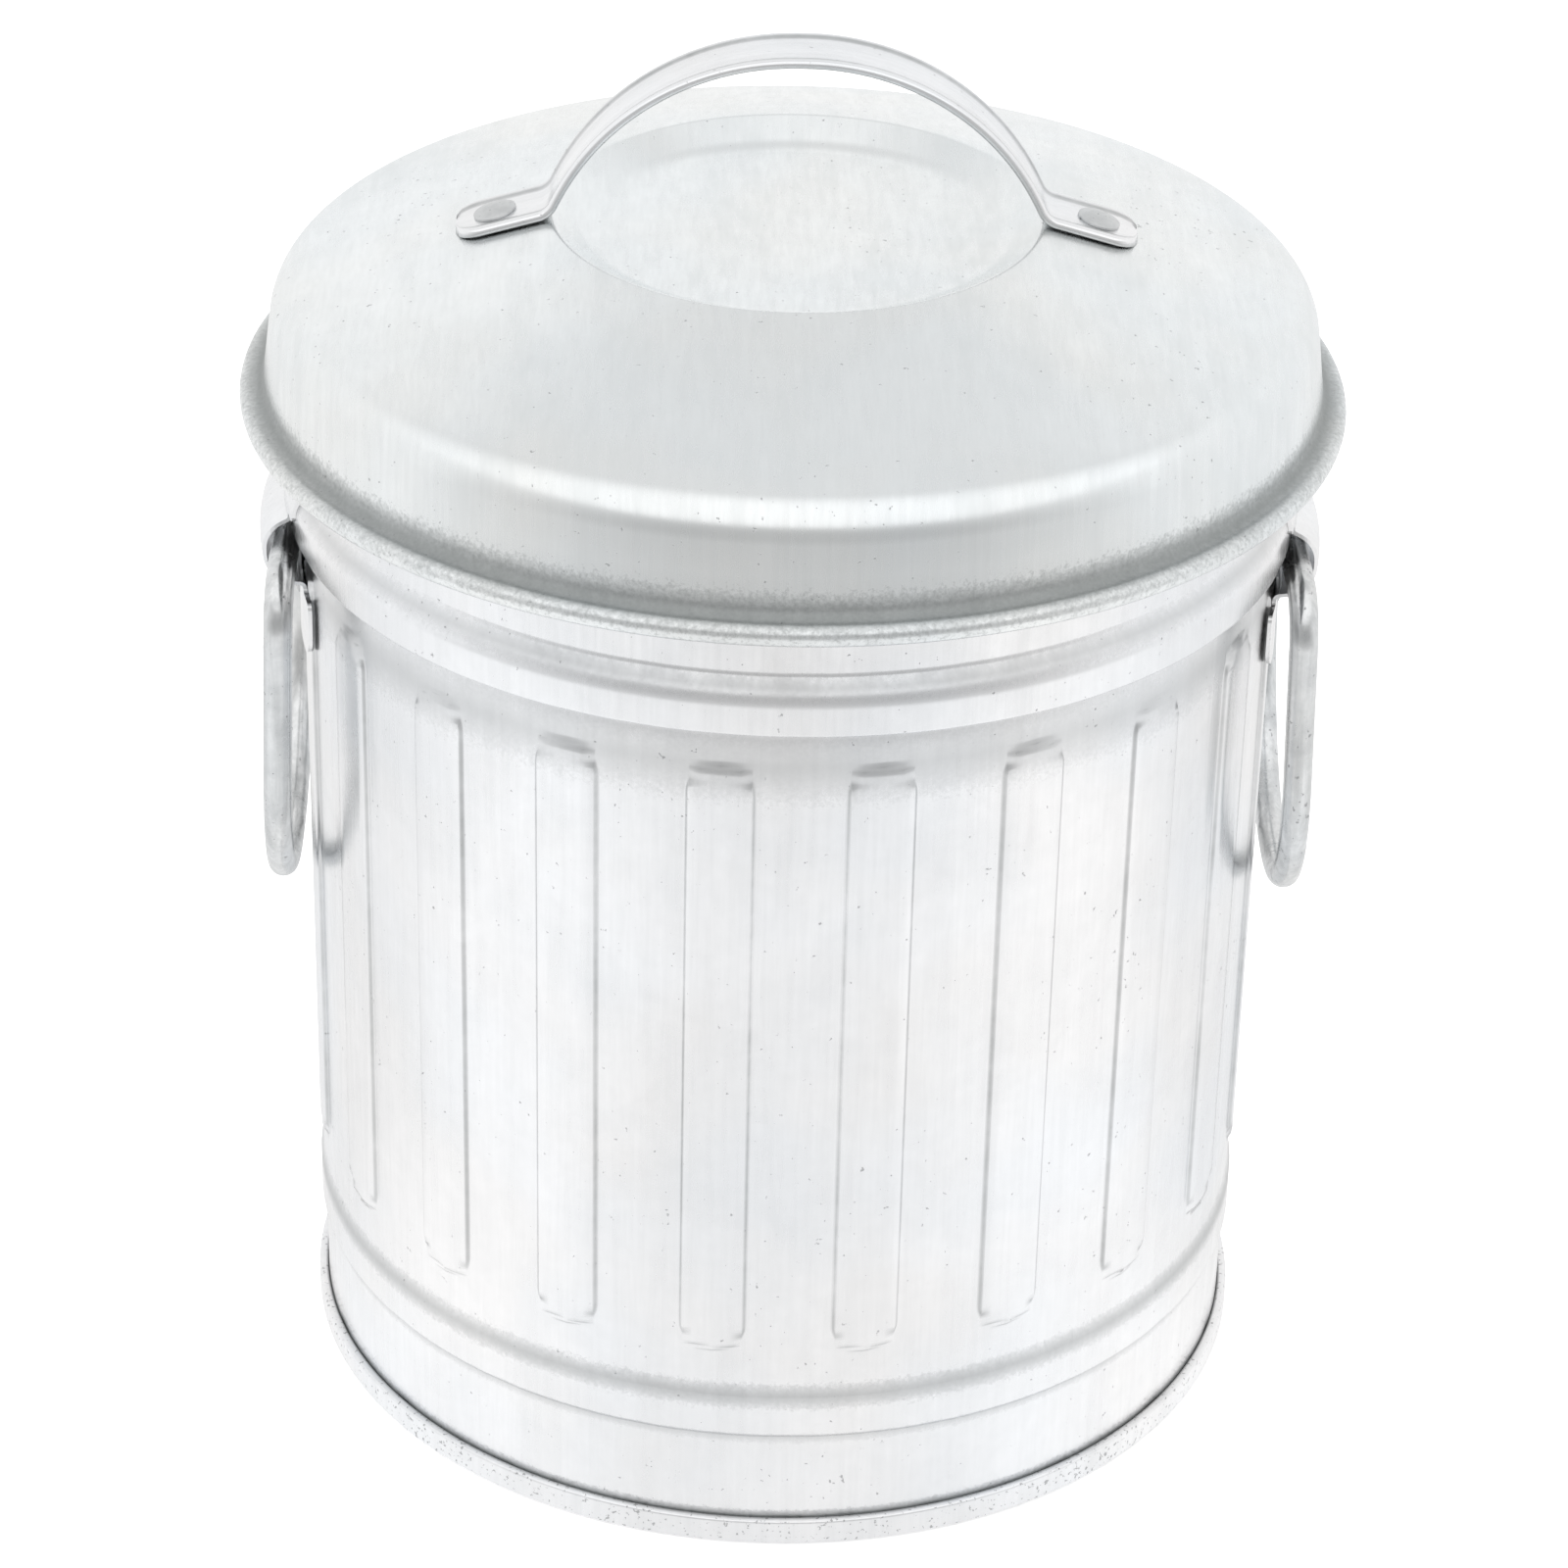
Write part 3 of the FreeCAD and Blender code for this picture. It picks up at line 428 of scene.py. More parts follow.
def folds():
    """A grey line round the can, painted shade on the wall and a darker band on the lid: 1 on a circle of a
    radius at a height, 0 at a reach from it, with a ragged edge from noise."""
    shader, ins, outs = new_group("Folds", {"Radius": 0.08, "Height": 0.1, "Reach": 0.002}, {"Fold": "Float"})
    radius = shader.long(shader.mapped(ins["Vector"], (1, 1, 0)))
    height = shader.node("SeparateXYZ", {0: ins["Vector"]}).outputs["Z"]
    apart = shader.node("CombineXYZ", {0: shader.maths("SUBTRACT", radius, ins["Radius"]),
                                       1: shader.maths("SUBTRACT", height, ins["Height"])})
    ragged = shader.noise(ins["Vector"], 1400.0, 3.0, 0.75)
    gap = shader.maths("MULTIPLY", shader.long(apart), shader.spread(ragged, 0.32, 0.68, 0.72, 1.3))
    near = shader.maths("SUBTRACT", 1.0, shader.maths("DIVIDE", gap, ins["Reach"]), clamp=True)
    shader.put(outs["Fold"], shader.maths("POWER", near, 0.8))
    return shader.tree


def zinc(name, tone, roughness, stretch=(1, 1, 0.05), fineness=1.0, line_depth=0.12, patch=35.0,
         mottle=320.0, speck_amount=0.3, speck_scale=900.0, dents=0.10, fold_rings=(), painted_shade_depth=0.0):
    """A zinc finish in the light and dark colours of a tone. Drawn lines run where stretch is small,
    dents wave the reflections, and each ring is (radius, height, reach, depth) of a grey line round the
    can: painted shade on the wall, and on the lid a darker band in the fillet and grey coating on the flange.
    The piece's own painted shade values darken it by a depth."""
    colours = bpy.context.scene.zinc_colours
    light, dark = (tuple(getattr(colours, tone + end)) for end in ("_light", "_dark"))
    material, shader, surface = new_material(name)
    place = shader.node("TexCoord").outputs["Object"]
    clouds = shader.group(zinc_clouds, {"Vector": place, "Patch Scale": patch, "Mottle Scale": mottle})
    lines = shader.group(drawn_lines, {"Vector": shader.mapped(place, stretch), "Fineness": fineness})
    marks = shader.group(specks, {"Vector": place, "Amount": speck_amount, "Scale": speck_scale})
    speck = shader.maths("MULTIPLY", marks["Speck"], 0.55)
    shade_and_grey = 0.0
    for radius, height, reach, depth in fold_rings:
        fold = shader.group(folds, {"Vector": place, "Radius": radius, "Height": height, "Reach": reach})
        shade_and_grey = shader.maths("MAXIMUM", shade_and_grey, shader.maths("MULTIPLY", fold["Fold"], depth))
    # Painted shade from the piece's own values, a little weaker on the brighter clouds
    if painted_shade_depth:
        crease = shader.node("Attribute", attribute_name="crease").outputs["Fac"]
        shade_on_clouds = shader.spread(clouds["Cloud"], 0, 1, painted_shade_depth, 0.5 * painted_shade_depth)
        shade_and_grey = shader.maths("MAXIMUM", shade_and_grey, shader.maths("MULTIPLY", crease, shade_on_clouds))
    body = shader.blend(clouds["Cloud"], dark, light)
    body = shader.blend(1.0, body, clouds["Tint"], "MULTIPLY")
    body = shader.blend(shader.spread(lines["Line"], 0, 1, line_depth, 0.0), body, tuple(colours.grain_and_shade_grey))
    # Painted shade, and the lid's darker bands, blended in as grey
    body = shader.blend(shade_and_grey, body, tuple(colours.grain_and_shade_grey))
    body = shader.blend(speck, body, tuple(colours.speck))
    shader.put(surface.inputs["Base Color"], body)
    surface.inputs["Metallic"].default_value = 1.0
    gloss = shader.maths("ADD", shader.spread(clouds["Cloud"], 0, 1, roughness + 0.05, roughness - 0.03),
                         shader.spread(lines["Line"], 0, 1, 0.05, -0.02))
    gloss = shader.maths("ADD", gloss, shader.maths("MULTIPLY", shader.maths("MAXIMUM", speck, shade_and_grey), 0.3))
    shader.put(surface.inputs["Roughness"], gloss)
    inputs = {}
    for strength, distance, height, invert in (
            (dents, 0.002, clouds["Height"], False), (0.10, 0.0002, lines["Height"], False),
            (0.4, 0.0001, speck, True)):
        inputs.update({"Strength": strength, "Distance": distance, "Height": height})
        inputs["Normal"] = shader.node("Bump", inputs, invert=invert)
    shader.put(surface.inputs["Normal"], inputs["Normal"])
    return material


def rivet_zinc(name):
    """The duller finish of the rivets."""
    return zinc(name, "rivet", 0.33, stretch=(1, 1, 1), line_depth=0.04, mottle=900.0, speck_amount=0.5)


# ---- can

def barrel_radii(can):
    """Outside radius of the barrel at its foot and at its top."""
    low = can.foot + can.barrel_rise
    return low, low + can.barrel_flare


def swage_heights(can):
    """Heights of the swage's lower edge, of its upper edge and of the neck's foot."""
    low = can.barrel_high + can.swage_lip
    high = low + can.swage_band
    return low, high, high + (can.swage - can.neck) / tan(can.swage_back)


def wall_corners(can):
    """The wall's outer line below and above the ribs, from its fold in the seam to the rolled mouth."""
    barrel, top = barrel_radii(can)
    bead, neck, swage = can.foot + can.bead_rise, top + can.neck, top + can.swage
    hook, floor = can.foot + can.sheet + 2 * can.gap, 2 * can.sheet + can.gap
    swage_low, swage_high, neck_foot = swage_heights(can)
    half = can.throat / 2
    round_off = half - 2 * can.bend
    hook_high, straight = 0.0036, 0.0002
    lower = [
        (hook, hook_high, 0), (hook, floor, 0), (can.foot, floor, 0),
        (can.foot, can.bead_low, can.bend), (bead, can.bead_low + can.bead_lip, can.bend),
        (bead, can.barrel_low - can.bead_step, can.bend), (barrel, can.barrel_low, can.bend),
        (barrel, can.barrel_low + 10 * straight, 0),
    ]
    upper = [
        (top, can.barrel_high - half - round_off - straight, 0),
        (top, can.barrel_high - half, round_off / tan(can.throat_lean / 2)),
        (top - half * tan(can.throat_lean), can.barrel_high, can.bend),
        (swage, swage_low, can.bend), (swage, swage_high, can.brow),
        (neck, neck_foot, 2 * can.bend), (neck, can.mouth - can.sheet - can.roll, 0),
    ]
    return lower, upper


def rib_columns(can):
    """Angles round the can, close together where ribs and the seam down the back have their slopes:
    shares of half a rib and of its slope, then the two sides of the seam's slope."""
    pitch = 2 * pi / can.rib_count
    edge, slope, seam = can.rib_width / 2, can.rib_slope, pitch / 2 * can.foot - can.lock_width / 2
    beside = can.lock_slope * 2 / 3
    spots = np.concatenate([
        np.array([0, 0.55]) * edge, edge - slope * np.array([1.1, 0.85, 0.6, 0.4, 0.15, -0.1]),
        [edge * 1.2, seam - beside, seam + beside]]) / can.foot
    one = np.concatenate([-spots[:0:-1], spots])
    centres = (np.arange(can.rib_count) + 0.5) * pitch + can.rib_turn
    return np.sort((centres[:, None] + one).ravel() % (2 * pi))


def pressed(can, grid, angles):
    """Moves the barrel's points outwards where ribs are pressed: a slot's distance from its middle line
    gives a smooth step over the rib's slope. The seam down the back is a narrow raised strip. The second
    array is painted shade: 1 on the middle of a rib's slope and 0 off it."""
    pitch, turned = 2 * pi / can.rib_count, angles - can.rib_turn
    height = grid[..., 2]
    radius = np.hypot(grid[..., 0], grid[..., 1])
    from_middle = ((turned / pitch) % 1 - 0.5) * pitch * radius
    middle, half_length = (can.rib_low + can.rib_high) / 2, (can.rib_high - can.rib_low) / 2
    past = np.maximum(np.abs(height - middle) - (half_length - can.rib_width / 2), 0)
    inside = np.clip((can.rib_width / 2 - np.hypot(from_middle, past)) / can.rib_slope, 0, 1)
    from_back = np.abs(turned - pi) * radius
    within = np.minimum(height - can.barrel_low, can.barrel_high - height)
    seam = (can.lock_width + can.lock_slope) / 2 - from_back
    strip = step_up(seam / can.lock_slope) * step_up(within / (1.5 * can.lock_slope))
    scale = 1 + (can.rib_height * step_up(inside) + can.lock_height * strip) / radius
    return np.stack([grid[..., 0] * scale, grid[..., 1] * scale, height], axis=-1), 4 * inside * (1 - inside)


def wall_grid(can):
    """The wall: its outer line, then the same line moved inwards by the sheet, spun and pressed. Rows lie
    close together in the round ends of the ribs."""
    under, over, end, longest = 0.0004, 0.0008, 0.010, 0.010
    lower, upper = wall_corners(can)
    low_radius, high_radius = barrel_radii(can)

    def barrel(end_rows, middle_rows):
        near = np.linspace(-under, can.rib_width / 2 + over, end_rows)
        rows = np.concatenate([
            can.rib_low + near, np.linspace(can.rib_low + end, can.rib_high - end, middle_rows),
            can.rib_high - near[::-1]])
        shares = (rows - can.barrel_low) / (can.barrel_high - can.throat / 2 - can.barrel_low)
        return np.stack([low_radius + (high_radius - low_radius) * shares, rows], axis=1)

    def line(rows, steps):
        whole = np.vstack([rounded(lower, steps), rows, rounded(upper, 2 * steps)])
        return curled(finer(whole, longest), can.roll, 3 * steps)

    outer = line(barrel(17, 9), 5)
    inner = offset(line(barrel(7, 5), 2), can.sheet)[::-1]
    angles = rib_columns(can)
    return pressed(can, spun(np.vstack([outer, inner]), angles), angles)


def bottom_section(can):
    """The bottom: panel, chuck wall, then the seam folded round the wall's own fold."""
    fold, panel_bend, lap = can.sheet + 2 * can.gap, 0.0016, 0.003
    chuck, edge = can.foot - 2 * can.sheet - can.gap, can.foot + can.gap
    outer = can.foot + 3 * can.sheet + 3 * can.gap
    corners = [(0, can.panel, 0), (chuck, can.panel, panel_bend), (chuck, 0, fold), (outer, 0, fold),
               (outer, can.seam_height, fold), (edge, can.seam_height, fold),
               (edge, can.seam_height - lap, 0)]
    line = finer(rounded(corners, 6), 0.01)
    return np.vstack([line, offset(line, can.sheet)[::-1]])


class TRASHCAN_OT_wall(bpy.types.Operator):
    """Build the ribbed wall with its rolled mouth, and give the wire in it a zinc finish"""
    bl_idname = "trashcan.wall"
    bl_label = "Wall"

    def execute(self, context):
        can = context.scene.can_sizes
        barrel, top = barrel_radii(can)
        high, neck_foot = swage_heights(can)[1:]
        # Painted shade in rings round the wall: under the swage, on its back, on the bead's upper slope, at
        # the bead's foot and over the bottom seam; the painted shade values darken the ribs' slopes
        throat = (can.foot, can.barrel_high - can.throat, 0.0065, 0.32)
        back = (top + can.swage / 2, (high + neck_foot) / 2, 0.0022, 0.28)
        seam = (can.foot, can.seam_height, 0.0012, 0.75)
        bead = (barrel, can.barrel_low - can.bead_step, 0.0025, 0.50)
        bead_foot = (can.foot, can.bead_low, 0.0014, 0.30)
        coat = zinc("wall_zinc", "sheet", context.scene.zinc_colours.gloss - 0.02, line_depth=0.045,
                    speck_amount=0.03, fold_rings=(throat, back, bead, bead_foot, seam), painted_shade_depth=0.55)
        points, crease = wall_grid(can)
        make_piece("ribbed_wall", [points], coat, "can", ["can_wall"],
                   wrap=(True, True), crease=crease)
        wire_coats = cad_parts["mouth_wire"].data.materials
        wire_coats.clear()
        wire_coats.append(zinc("mouth_wire_zinc", "sheet", 0.35))
        return {"FINISHED"}


class TRASHCAN_OT_bottom(bpy.types.Operator):
    """Build the bottom and its double seam"""
    bl_idname = "trashcan.bottom"
    bl_label = "Bottom"

    def execute(self, context):
        can = context.scene.can_sizes
        coat = zinc("seam_zinc", "sheet", 0.3, line_depth=0.08, speck_amount=0.8, speck_scale=1300.0)
        make_piece("seamed_bottom", [spun(bottom_section(can), round_angles(sides=256))], coat, "can",
                   ["can_bottom"])
        return {"FINISHED"}


# ---- lid

def cone_height(lid, radius):
    """Height of the lid's cone: the shoulder's height plus the way in from it times the slope."""
    return lid.shoulder_height + (lid.shoulder - radius) * tan(lid.slope)


def lid_section(can, lid):
    """The lid: dish, cone, shoulder, skirt and curled rim, then back along its inside."""
    peak = cone_height(lid, lid.dish)
    floor = peak - lid.dish_depth
    skirt = lid.shoulder + lid.skirt * tan(lid.flare)
    rim, skirt_bend = lid.shoulder_height - lid.skirt, 0.002
    corners = [(0, floor, 0), (lid.dish - lid.dish_slope, floor, lid.dish_bend),
               (lid.dish, peak, lid.dish_lip),
               (lid.shoulder, lid.shoulder_height, lid.shoulder_round), (skirt, rim, skirt_bend),
               (skirt + lid.flange, rim, 0)]
    line = curled(finer(rounded(corners, 12), 0.006), lid.curl, 22)
    return np.vstack([line, offset(line, -can.sheet)[::-1]])


def strap_line(lid, depth):
    """The strap from the side at a depth under its top: arch, two legs and two feet."""
    half_flat, ankle = 0.0008, 0.003
    top = cone_height(lid, lid.dish) + lid.strap_height - depth
    start = half_flat + (lid.strap_arch - depth) * tan(lid.strap_leg / 2)
    rise = (2 * lid.strap_sheet - depth + lid.strap_seat) / cos(lid.slope)
    along, down = cos(lid.strap_leg), sin(lid.strap_leg)
    run = (top - cone_height(lid, start) - rise) / (down - along * tan(lid.slope))
    right = [(start, top, lid.strap_arch - depth),
             (start + run * along, top - run * down, ankle + depth),
             (lid.strap_reach, cone_height(lid, lid.strap_reach) + rise, 0)]
    return [(-x, z, r) for x, z, r in reversed(right)] + right


def strap_rows(lid, depth):
    """Points along the strap at a depth, with more of them where the tips round off."""
    line = rounded(strap_line(lid, depth), 28)
    foot = line[-1] - line[-2]
    turn = np.linspace(0, pi / 2, 10)[:, None]
    tip = line[-1] - foot * lid.strap_corner / foot[0] * np.cos(turn)
    right = np.vstack([line[len(line) // 2:-1], tip])
    return np.vstack([right[::-1] * (-1, 1), right])


def strap_section(lid):
    """Half the strap's width and depth, from the middle of its top round the folded edge to the
    middle of its underside: a half circle of one sheet's radius joins the two. Near the hem the top
    falls back by parts of its dip."""
    half, fold, dip = lid.strap_width / 2, lid.strap_sheet, lid.strap_dip
    hem = half - lid.strap_hem
    turn = np.linspace(pi / 2, -pi / 2, 9)
    fall = (0.0011, 1), (0.0006, 0.85), (0.0002, 0.2), (0, 0)
    top = [(0, dip)] + [(hem - inward, dip * part) for inward, part in fall]
    edge = np.stack([half - fold + fold * np.cos(turn), fold - fold * np.sin(turn)], axis=1)
    bevel = 0.0001
    under = [(hem + bevel, 2 * fold), (hem, 2 * fold - bevel), (hem, fold + dip), (0, fold + dip)]
    return np.vstack([top, edge, under])


def strap_grid(lid):
    """The strap: its section carried along the strap's line, each point between the lines at no depth
    and at full depth. Near the tips the section narrows by a quarter circle. The second array is painted
    shade: 1 in the groove beside a folded edge and on the underside, and 0 on the open top."""
    right = strap_section(lid)
    section = np.vstack([right, (right[::-1] * (-1, 1))[1:-1]])
    across, depth = section[:, 0], section[:, 1] / (2 * lid.strap_sheet)
    top, low = strap_rows(lid, 0.0), strap_rows(lid, 2 * lid.strap_sheet)
    corner = lid.strap_corner
    from_tip = np.clip(lid.strap_reach - np.abs(top[:, 0]), 0, corner)
    inset = corner - np.sqrt(corner ** 2 - (corner - from_tip) ** 2)
    narrow = 1 - inset / (lid.strap_width / 2)
    x = top[:, :1] + (low[:, :1] - top[:, :1]) * depth
    z = top[:, 1:] + (low[:, 1:] - top[:, 1:]) * depth
    inward, reach = 0.0003, 0.0005
    beside = (np.abs(across) - lid.strap_width / 2 + lid.strap_hem + inward) / reach
    groove = np.exp(-beside ** 2) * (depth < 0.3)
    # Painted shade in the groove beside each folded edge and on the underside
    shade = np.broadcast_to(np.maximum(groove, 1.3 * np.clip(depth - 0.3, 0, 1)), x.shape)
    return np.stack([x, narrow[:, None] * across, z], axis=-1), np.pad(shade, ((1, 1), (0, 0)), "edge")


def rivet_section(head, grip, dome=0.0009, slack=0.00015, shank=0.0016, tail=0.0025, tail_height=0.0009,
                  edge=0.00035, bevel=0.0001):
    """A rivet through a grip of sheets, from the middle of its tail up to the middle of its domed head,
    with a little slack over the tail."""
    grip += slack
    low = -grip - tail_height
    turn = np.linspace(0, 1, 9)
    radius = (head * head + dome * dome) / (2 * dome)
    across = head * np.cos(turn * pi / 2)
    arc = np.stack([across, edge + dome - radius + np.sqrt(radius ** 2 - across ** 2)], axis=1)
    lower = rounded([(0, low, 0), (tail, low, tail_height / 2), (tail, -grip, 0), (shank, -grip, 0),
                     (shank, 0, 0), (head, 0, bevel), (head, edge, 0)], 6)
    return np.vstack([lower[:-1], arc])


def stood(grid, across, height, tilt, side):
    """A grid stood at a distance from the can's axis and a height, tilted outwards on its side."""
    matrix = Matrix.Translation((across * side, 0, height)) @ Matrix.Rotation(tilt * side, 4, "Y")
    return grid @ np.array(matrix.to_3x3()).T + np.array(matrix.translation)


class TRASHCAN_OT_lid(bpy.types.Operator):
    """Build the dished lid with its curled rim"""
    bl_idname = "trashcan.lid"
    bl_label = "Lid"

    def execute(self, context):
        scene = context.scene
        lid = scene.lid_sizes
        rim = lid.shoulder_height - lid.skirt
        skirt = lid.shoulder + lid.skirt * tan(lid.flare)
        # Grey rings: a darker band in the skirt's fillet, and the speckled grey coating of the flange
        fillet = (skirt, rim, 0.0042, 0.95)
        flange = (skirt + lid.flange, rim, 0.0018, 0.40)
        coat = zinc("lid_zinc", "lid", scene.zinc_colours.gloss, stretch=(1, 0.15, 0.05), line_depth=0.09,
                    patch=22.0, mottle=170.0, speck_amount=0.05, fold_rings=(fillet, flange))
        section = lid_section(scene.can_sizes, lid)
        make_piece("dished_lid", [spun(section, round_angles(sides=320))], coat, "lid",
                   ["lid_pan"])
        return {"FINISHED"}


class TRASHCAN_OT_strap(bpy.types.Operator):
    """Build the strap handle and its two rivets"""
    bl_idname = "trashcan.strap"
    bl_label = "Strap"

    def execute(self, context):
        scene = context.scene
        lid = scene.lid_sizes
        # The painted shade values darken the strap's grooves and underside
        coat = zinc("strap_zinc", "sheet", 0.20, stretch=(0.05, 1, 0.05), line_depth=0.06, mottle=500.0,
                    speck_amount=0.1, painted_shade_depth=0.75)
        points, shade = strap_grid(lid)
        make_piece("strap_handle", [capped(points)], coat, "lid", ["lid_handle"],
                   sharp=50, crease=shade)
        rivet_coat = rivet_zinc("strap_rivet_zinc")
        rise = 2 * lid.strap_sheet + lid.strap_seat - lid.strap_dip
        across = lid.rivet_at + sin(lid.slope) * rise
        height = cone_height(lid, lid.rivet_at) + cos(lid.slope) * rise
        section = rivet_section(lid.rivet_head, rise + scene.can_sizes.sheet)
        rivet = spun(section, round_angles(sides=40))
        for side_name, side in SIDES.items():
            grid = stood(rivet, across, height, lid.slope, side)
            make_piece("strap_rivet_" + side_name, [grid], rivet_coat, "lid",
                       [side_name + "_lid_rivet"])
        return {"FINISHED"}


# ---- ears and rings

def ear_seats(can, sizes):
    """Outside radius of an ear's lower flange, on a rib, and of its upper flange, on the neck."""
    skin = sizes.ear_sheet + sizes.ear_seat
    top = barrel_radii(can)[1]
    return top + can.rib_height + skin, top + can.neck + skin


def ear_line(can, sizes):
    """An ear's outer line, from its lower flange over the hood to its upper flange."""
    skin = sizes.ear_sheet + sizes.ear_seat
    face, neck = ear_seats(can, sizes)
    roof_foot, hood = barrel_radii(can)[1] + can.swage + skin, sizes.pivot + sizes.hood_depth
    low, high = sizes.pivot_height - sizes.hood_drop, sizes.pivot_height + sizes.hood_rise
    lift, bend = skin * tan(can.swage_back / 2), 0.0006
    swage_high, neck_foot = (height + lift for height in swage_heights(can)[1:])
    eaves = high - (hood - roof_foot) * tan(sizes.roof)
    return rounded([
        (face, sizes.ear_low, 0), (face, low, bend), (hood, low, sizes.hood_round),
        (hood, eaves, sizes.hood_round), (roof_foot, high, bend),
        (roof_foot, swage_high, can.brow + skin), (neck, neck_foot, 2 * can.bend - skin),
        (neck, sizes.ear_high, 0)], 9)


def notches(sizes):
    """Heights where the wide flanges end and the narrower hood begins."""
    return (sizes.pivot_height - sizes.hood_drop - sizes.notch_round,
            sizes.pivot_height + sizes.hood_rise + sizes.notch_round)


def corner_inset(distance, radius):
    """How far a round corner has drawn in, at a distance from the edge that it starts at."""
    reach = radius - np.clip(distance, 0, radius)
    return radius - np.sqrt(radius * radius - reach * reach)


def ear_half_width(sizes, height):
    """Half the ear's width at a height: wide flanges with round corners, and a narrower hood between."""
    low, high = notches(sizes)
    bend = sizes.notch_round
    lower = corner_inset(height - sizes.ear_low, sizes.ear_corner) + corner_inset(low - height, bend)
    upper = corner_inset(sizes.ear_high - height, sizes.ear_top_corner) + corner_inset(height - high, bend)
    hood = sizes.hood_width + corner_inset(np.minimum(height - low, high - height), bend)
    flange = sizes.ear_width - np.where(height <= low, lower, upper)
    return np.where((height > low) & (height < high), hood, flange)


def ear_grids(can, sizes, side):
    """An ear: its line spun about Z as far as its width at each height, and the same inside."""
    turn = np.linspace(0, pi / 2, 9)
    bend = sizes.notch_round * (1 - np.cos(turn))
    extra = [sizes.ear_low + sizes.ear_corner * (1 - np.cos(turn)),
             sizes.ear_high - sizes.ear_top_corner * (1 - np.cos(turn))]
    for height in notches(sizes):
        extra += [height - bend - 1e-6, height + bend + 1e-6]
    line = with_heights(ear_line(can, sizes), np.concatenate(extra))
    half = ear_half_width(sizes, line[:, 1])[:, None] * np.linspace(-1, 1, 33)

    def skin(section):
        radius, height = section[:, :1], section[:, 1:]
        return np.stack([side * np.sqrt(radius ** 2 - half ** 2), half, height + 0 * half], axis=-1)

    outer, inner = skin(line), skin(offset(line, sizes.ear_sheet))
    edges = [np.stack([outer[:, end], inner[:, end]]) for end in (0, -1)]
    ends = [np.stack([outer[end], inner[end]]) for end in (0, -1)]
    return [outer, inner] + edges + ends


def with_heights(line, heights):
    """Adds points to a rising line at more heights: the way along the line is read off at each height,
    and the points are read off at every way along."""
    near = 1e-7
    along = np.concatenate([[0], np.cumsum(np.linalg.norm(np.diff(line, axis=0), axis=1))])
    more = np.interp(heights, line[:, 1], along)
    apart = np.abs(more[:, None] - along).min(axis=1) > near
    stops = np.unique(np.concatenate([along, more[apart]]))
    return np.stack([np.interp(stops, along, line[:, axis]) for axis in (0, 1)], axis=1)


def ring_grid(sizes, side):
    """A ring: a round bar along a D, leaning out from its bar, with a butt joint in the bar."""
    butt, half_flat = 0.0004, 0.001
    half, bow = sizes.half_width, sizes.half_width - half_flat
    corners = [(0, 0, 0), (half, 0, sizes.corner), (half, -sizes.drop, bow), (-half, -sizes.drop, bow),
               (-half, 0, sizes.corner), (-butt, 0, 0)]
    bar = tube(finer(rounded(corners, 26), 0.004), sizes.wire, 28)
    return stood(capped(bar), sizes.pivot, sizes.pivot_height, -sizes.lean, side)


class TRASHCAN_OT_ears(bpy.types.Operator):
    """Build the stamped ears and the rivets that hold them"""
    bl_idname = "trashcan.ears"
    bl_label = "Ears"

    def execute(self, context):
        scene = context.scene
        can, sizes = scene.can_sizes, scene.handle_sizes
        coat = zinc("ear_zinc", "sheet", 0.2, stretch=(1, 1, 0.2), line_depth=0.05, speck_amount=0.0,
                    dents=0.08)
        rivet_coat = rivet_zinc("ear_rivet_zinc")
        face, neck = ear_seats(can, sizes)
        seats = {"lower": (face, sizes.ear_low + sizes.low_rivet),
                 "upper": (neck, sizes.ear_high - sizes.high_rivet)}
        section = rivet_section(sizes.rivet_head, sizes.ear_sheet + sizes.ear_seat + can.sheet)
        rivet = spun(section, round_angles(sides=32))
        for side_name, side in SIDES.items():
            make_piece(side_name + "_ear_hood", ear_grids(can, sizes, side), coat, "can",
                       [side_name + "_ear"], wrap=(False, False))
            for row, (across, height) in seats.items():
                grid = stood(rivet, across, height, pi / 2, side)
                make_piece("%s_%s_rivet" % (side_name, row), [grid], rivet_coat, "can",
                           ["%s_ear_%s_rivet" % (side_name, row)])
        return {"FINISHED"}


class TRASHCAN_OT_rings(bpy.types.Operator):
    """Build the two drop rings"""
    bl_idname = "trashcan.rings"
    bl_label = "Rings"

    def execute(self, context):
        coat = zinc("ring_zinc", "wire", 0.22, stretch=(1, 1, 0.06), fineness=0.8, line_depth=0.30,
                    patch=120.0, mottle=700.0, speck_amount=0.4, dents=0.25)
        for side_name, side in SIDES.items():
            make_piece(side_name + "_drop_ring", [ring_grid(context.scene.handle_sizes, side)], coat,
                       side_name + "_ring", [side_name + "_ring_handle"])
        return {"FINISHED"}


# ---- stage

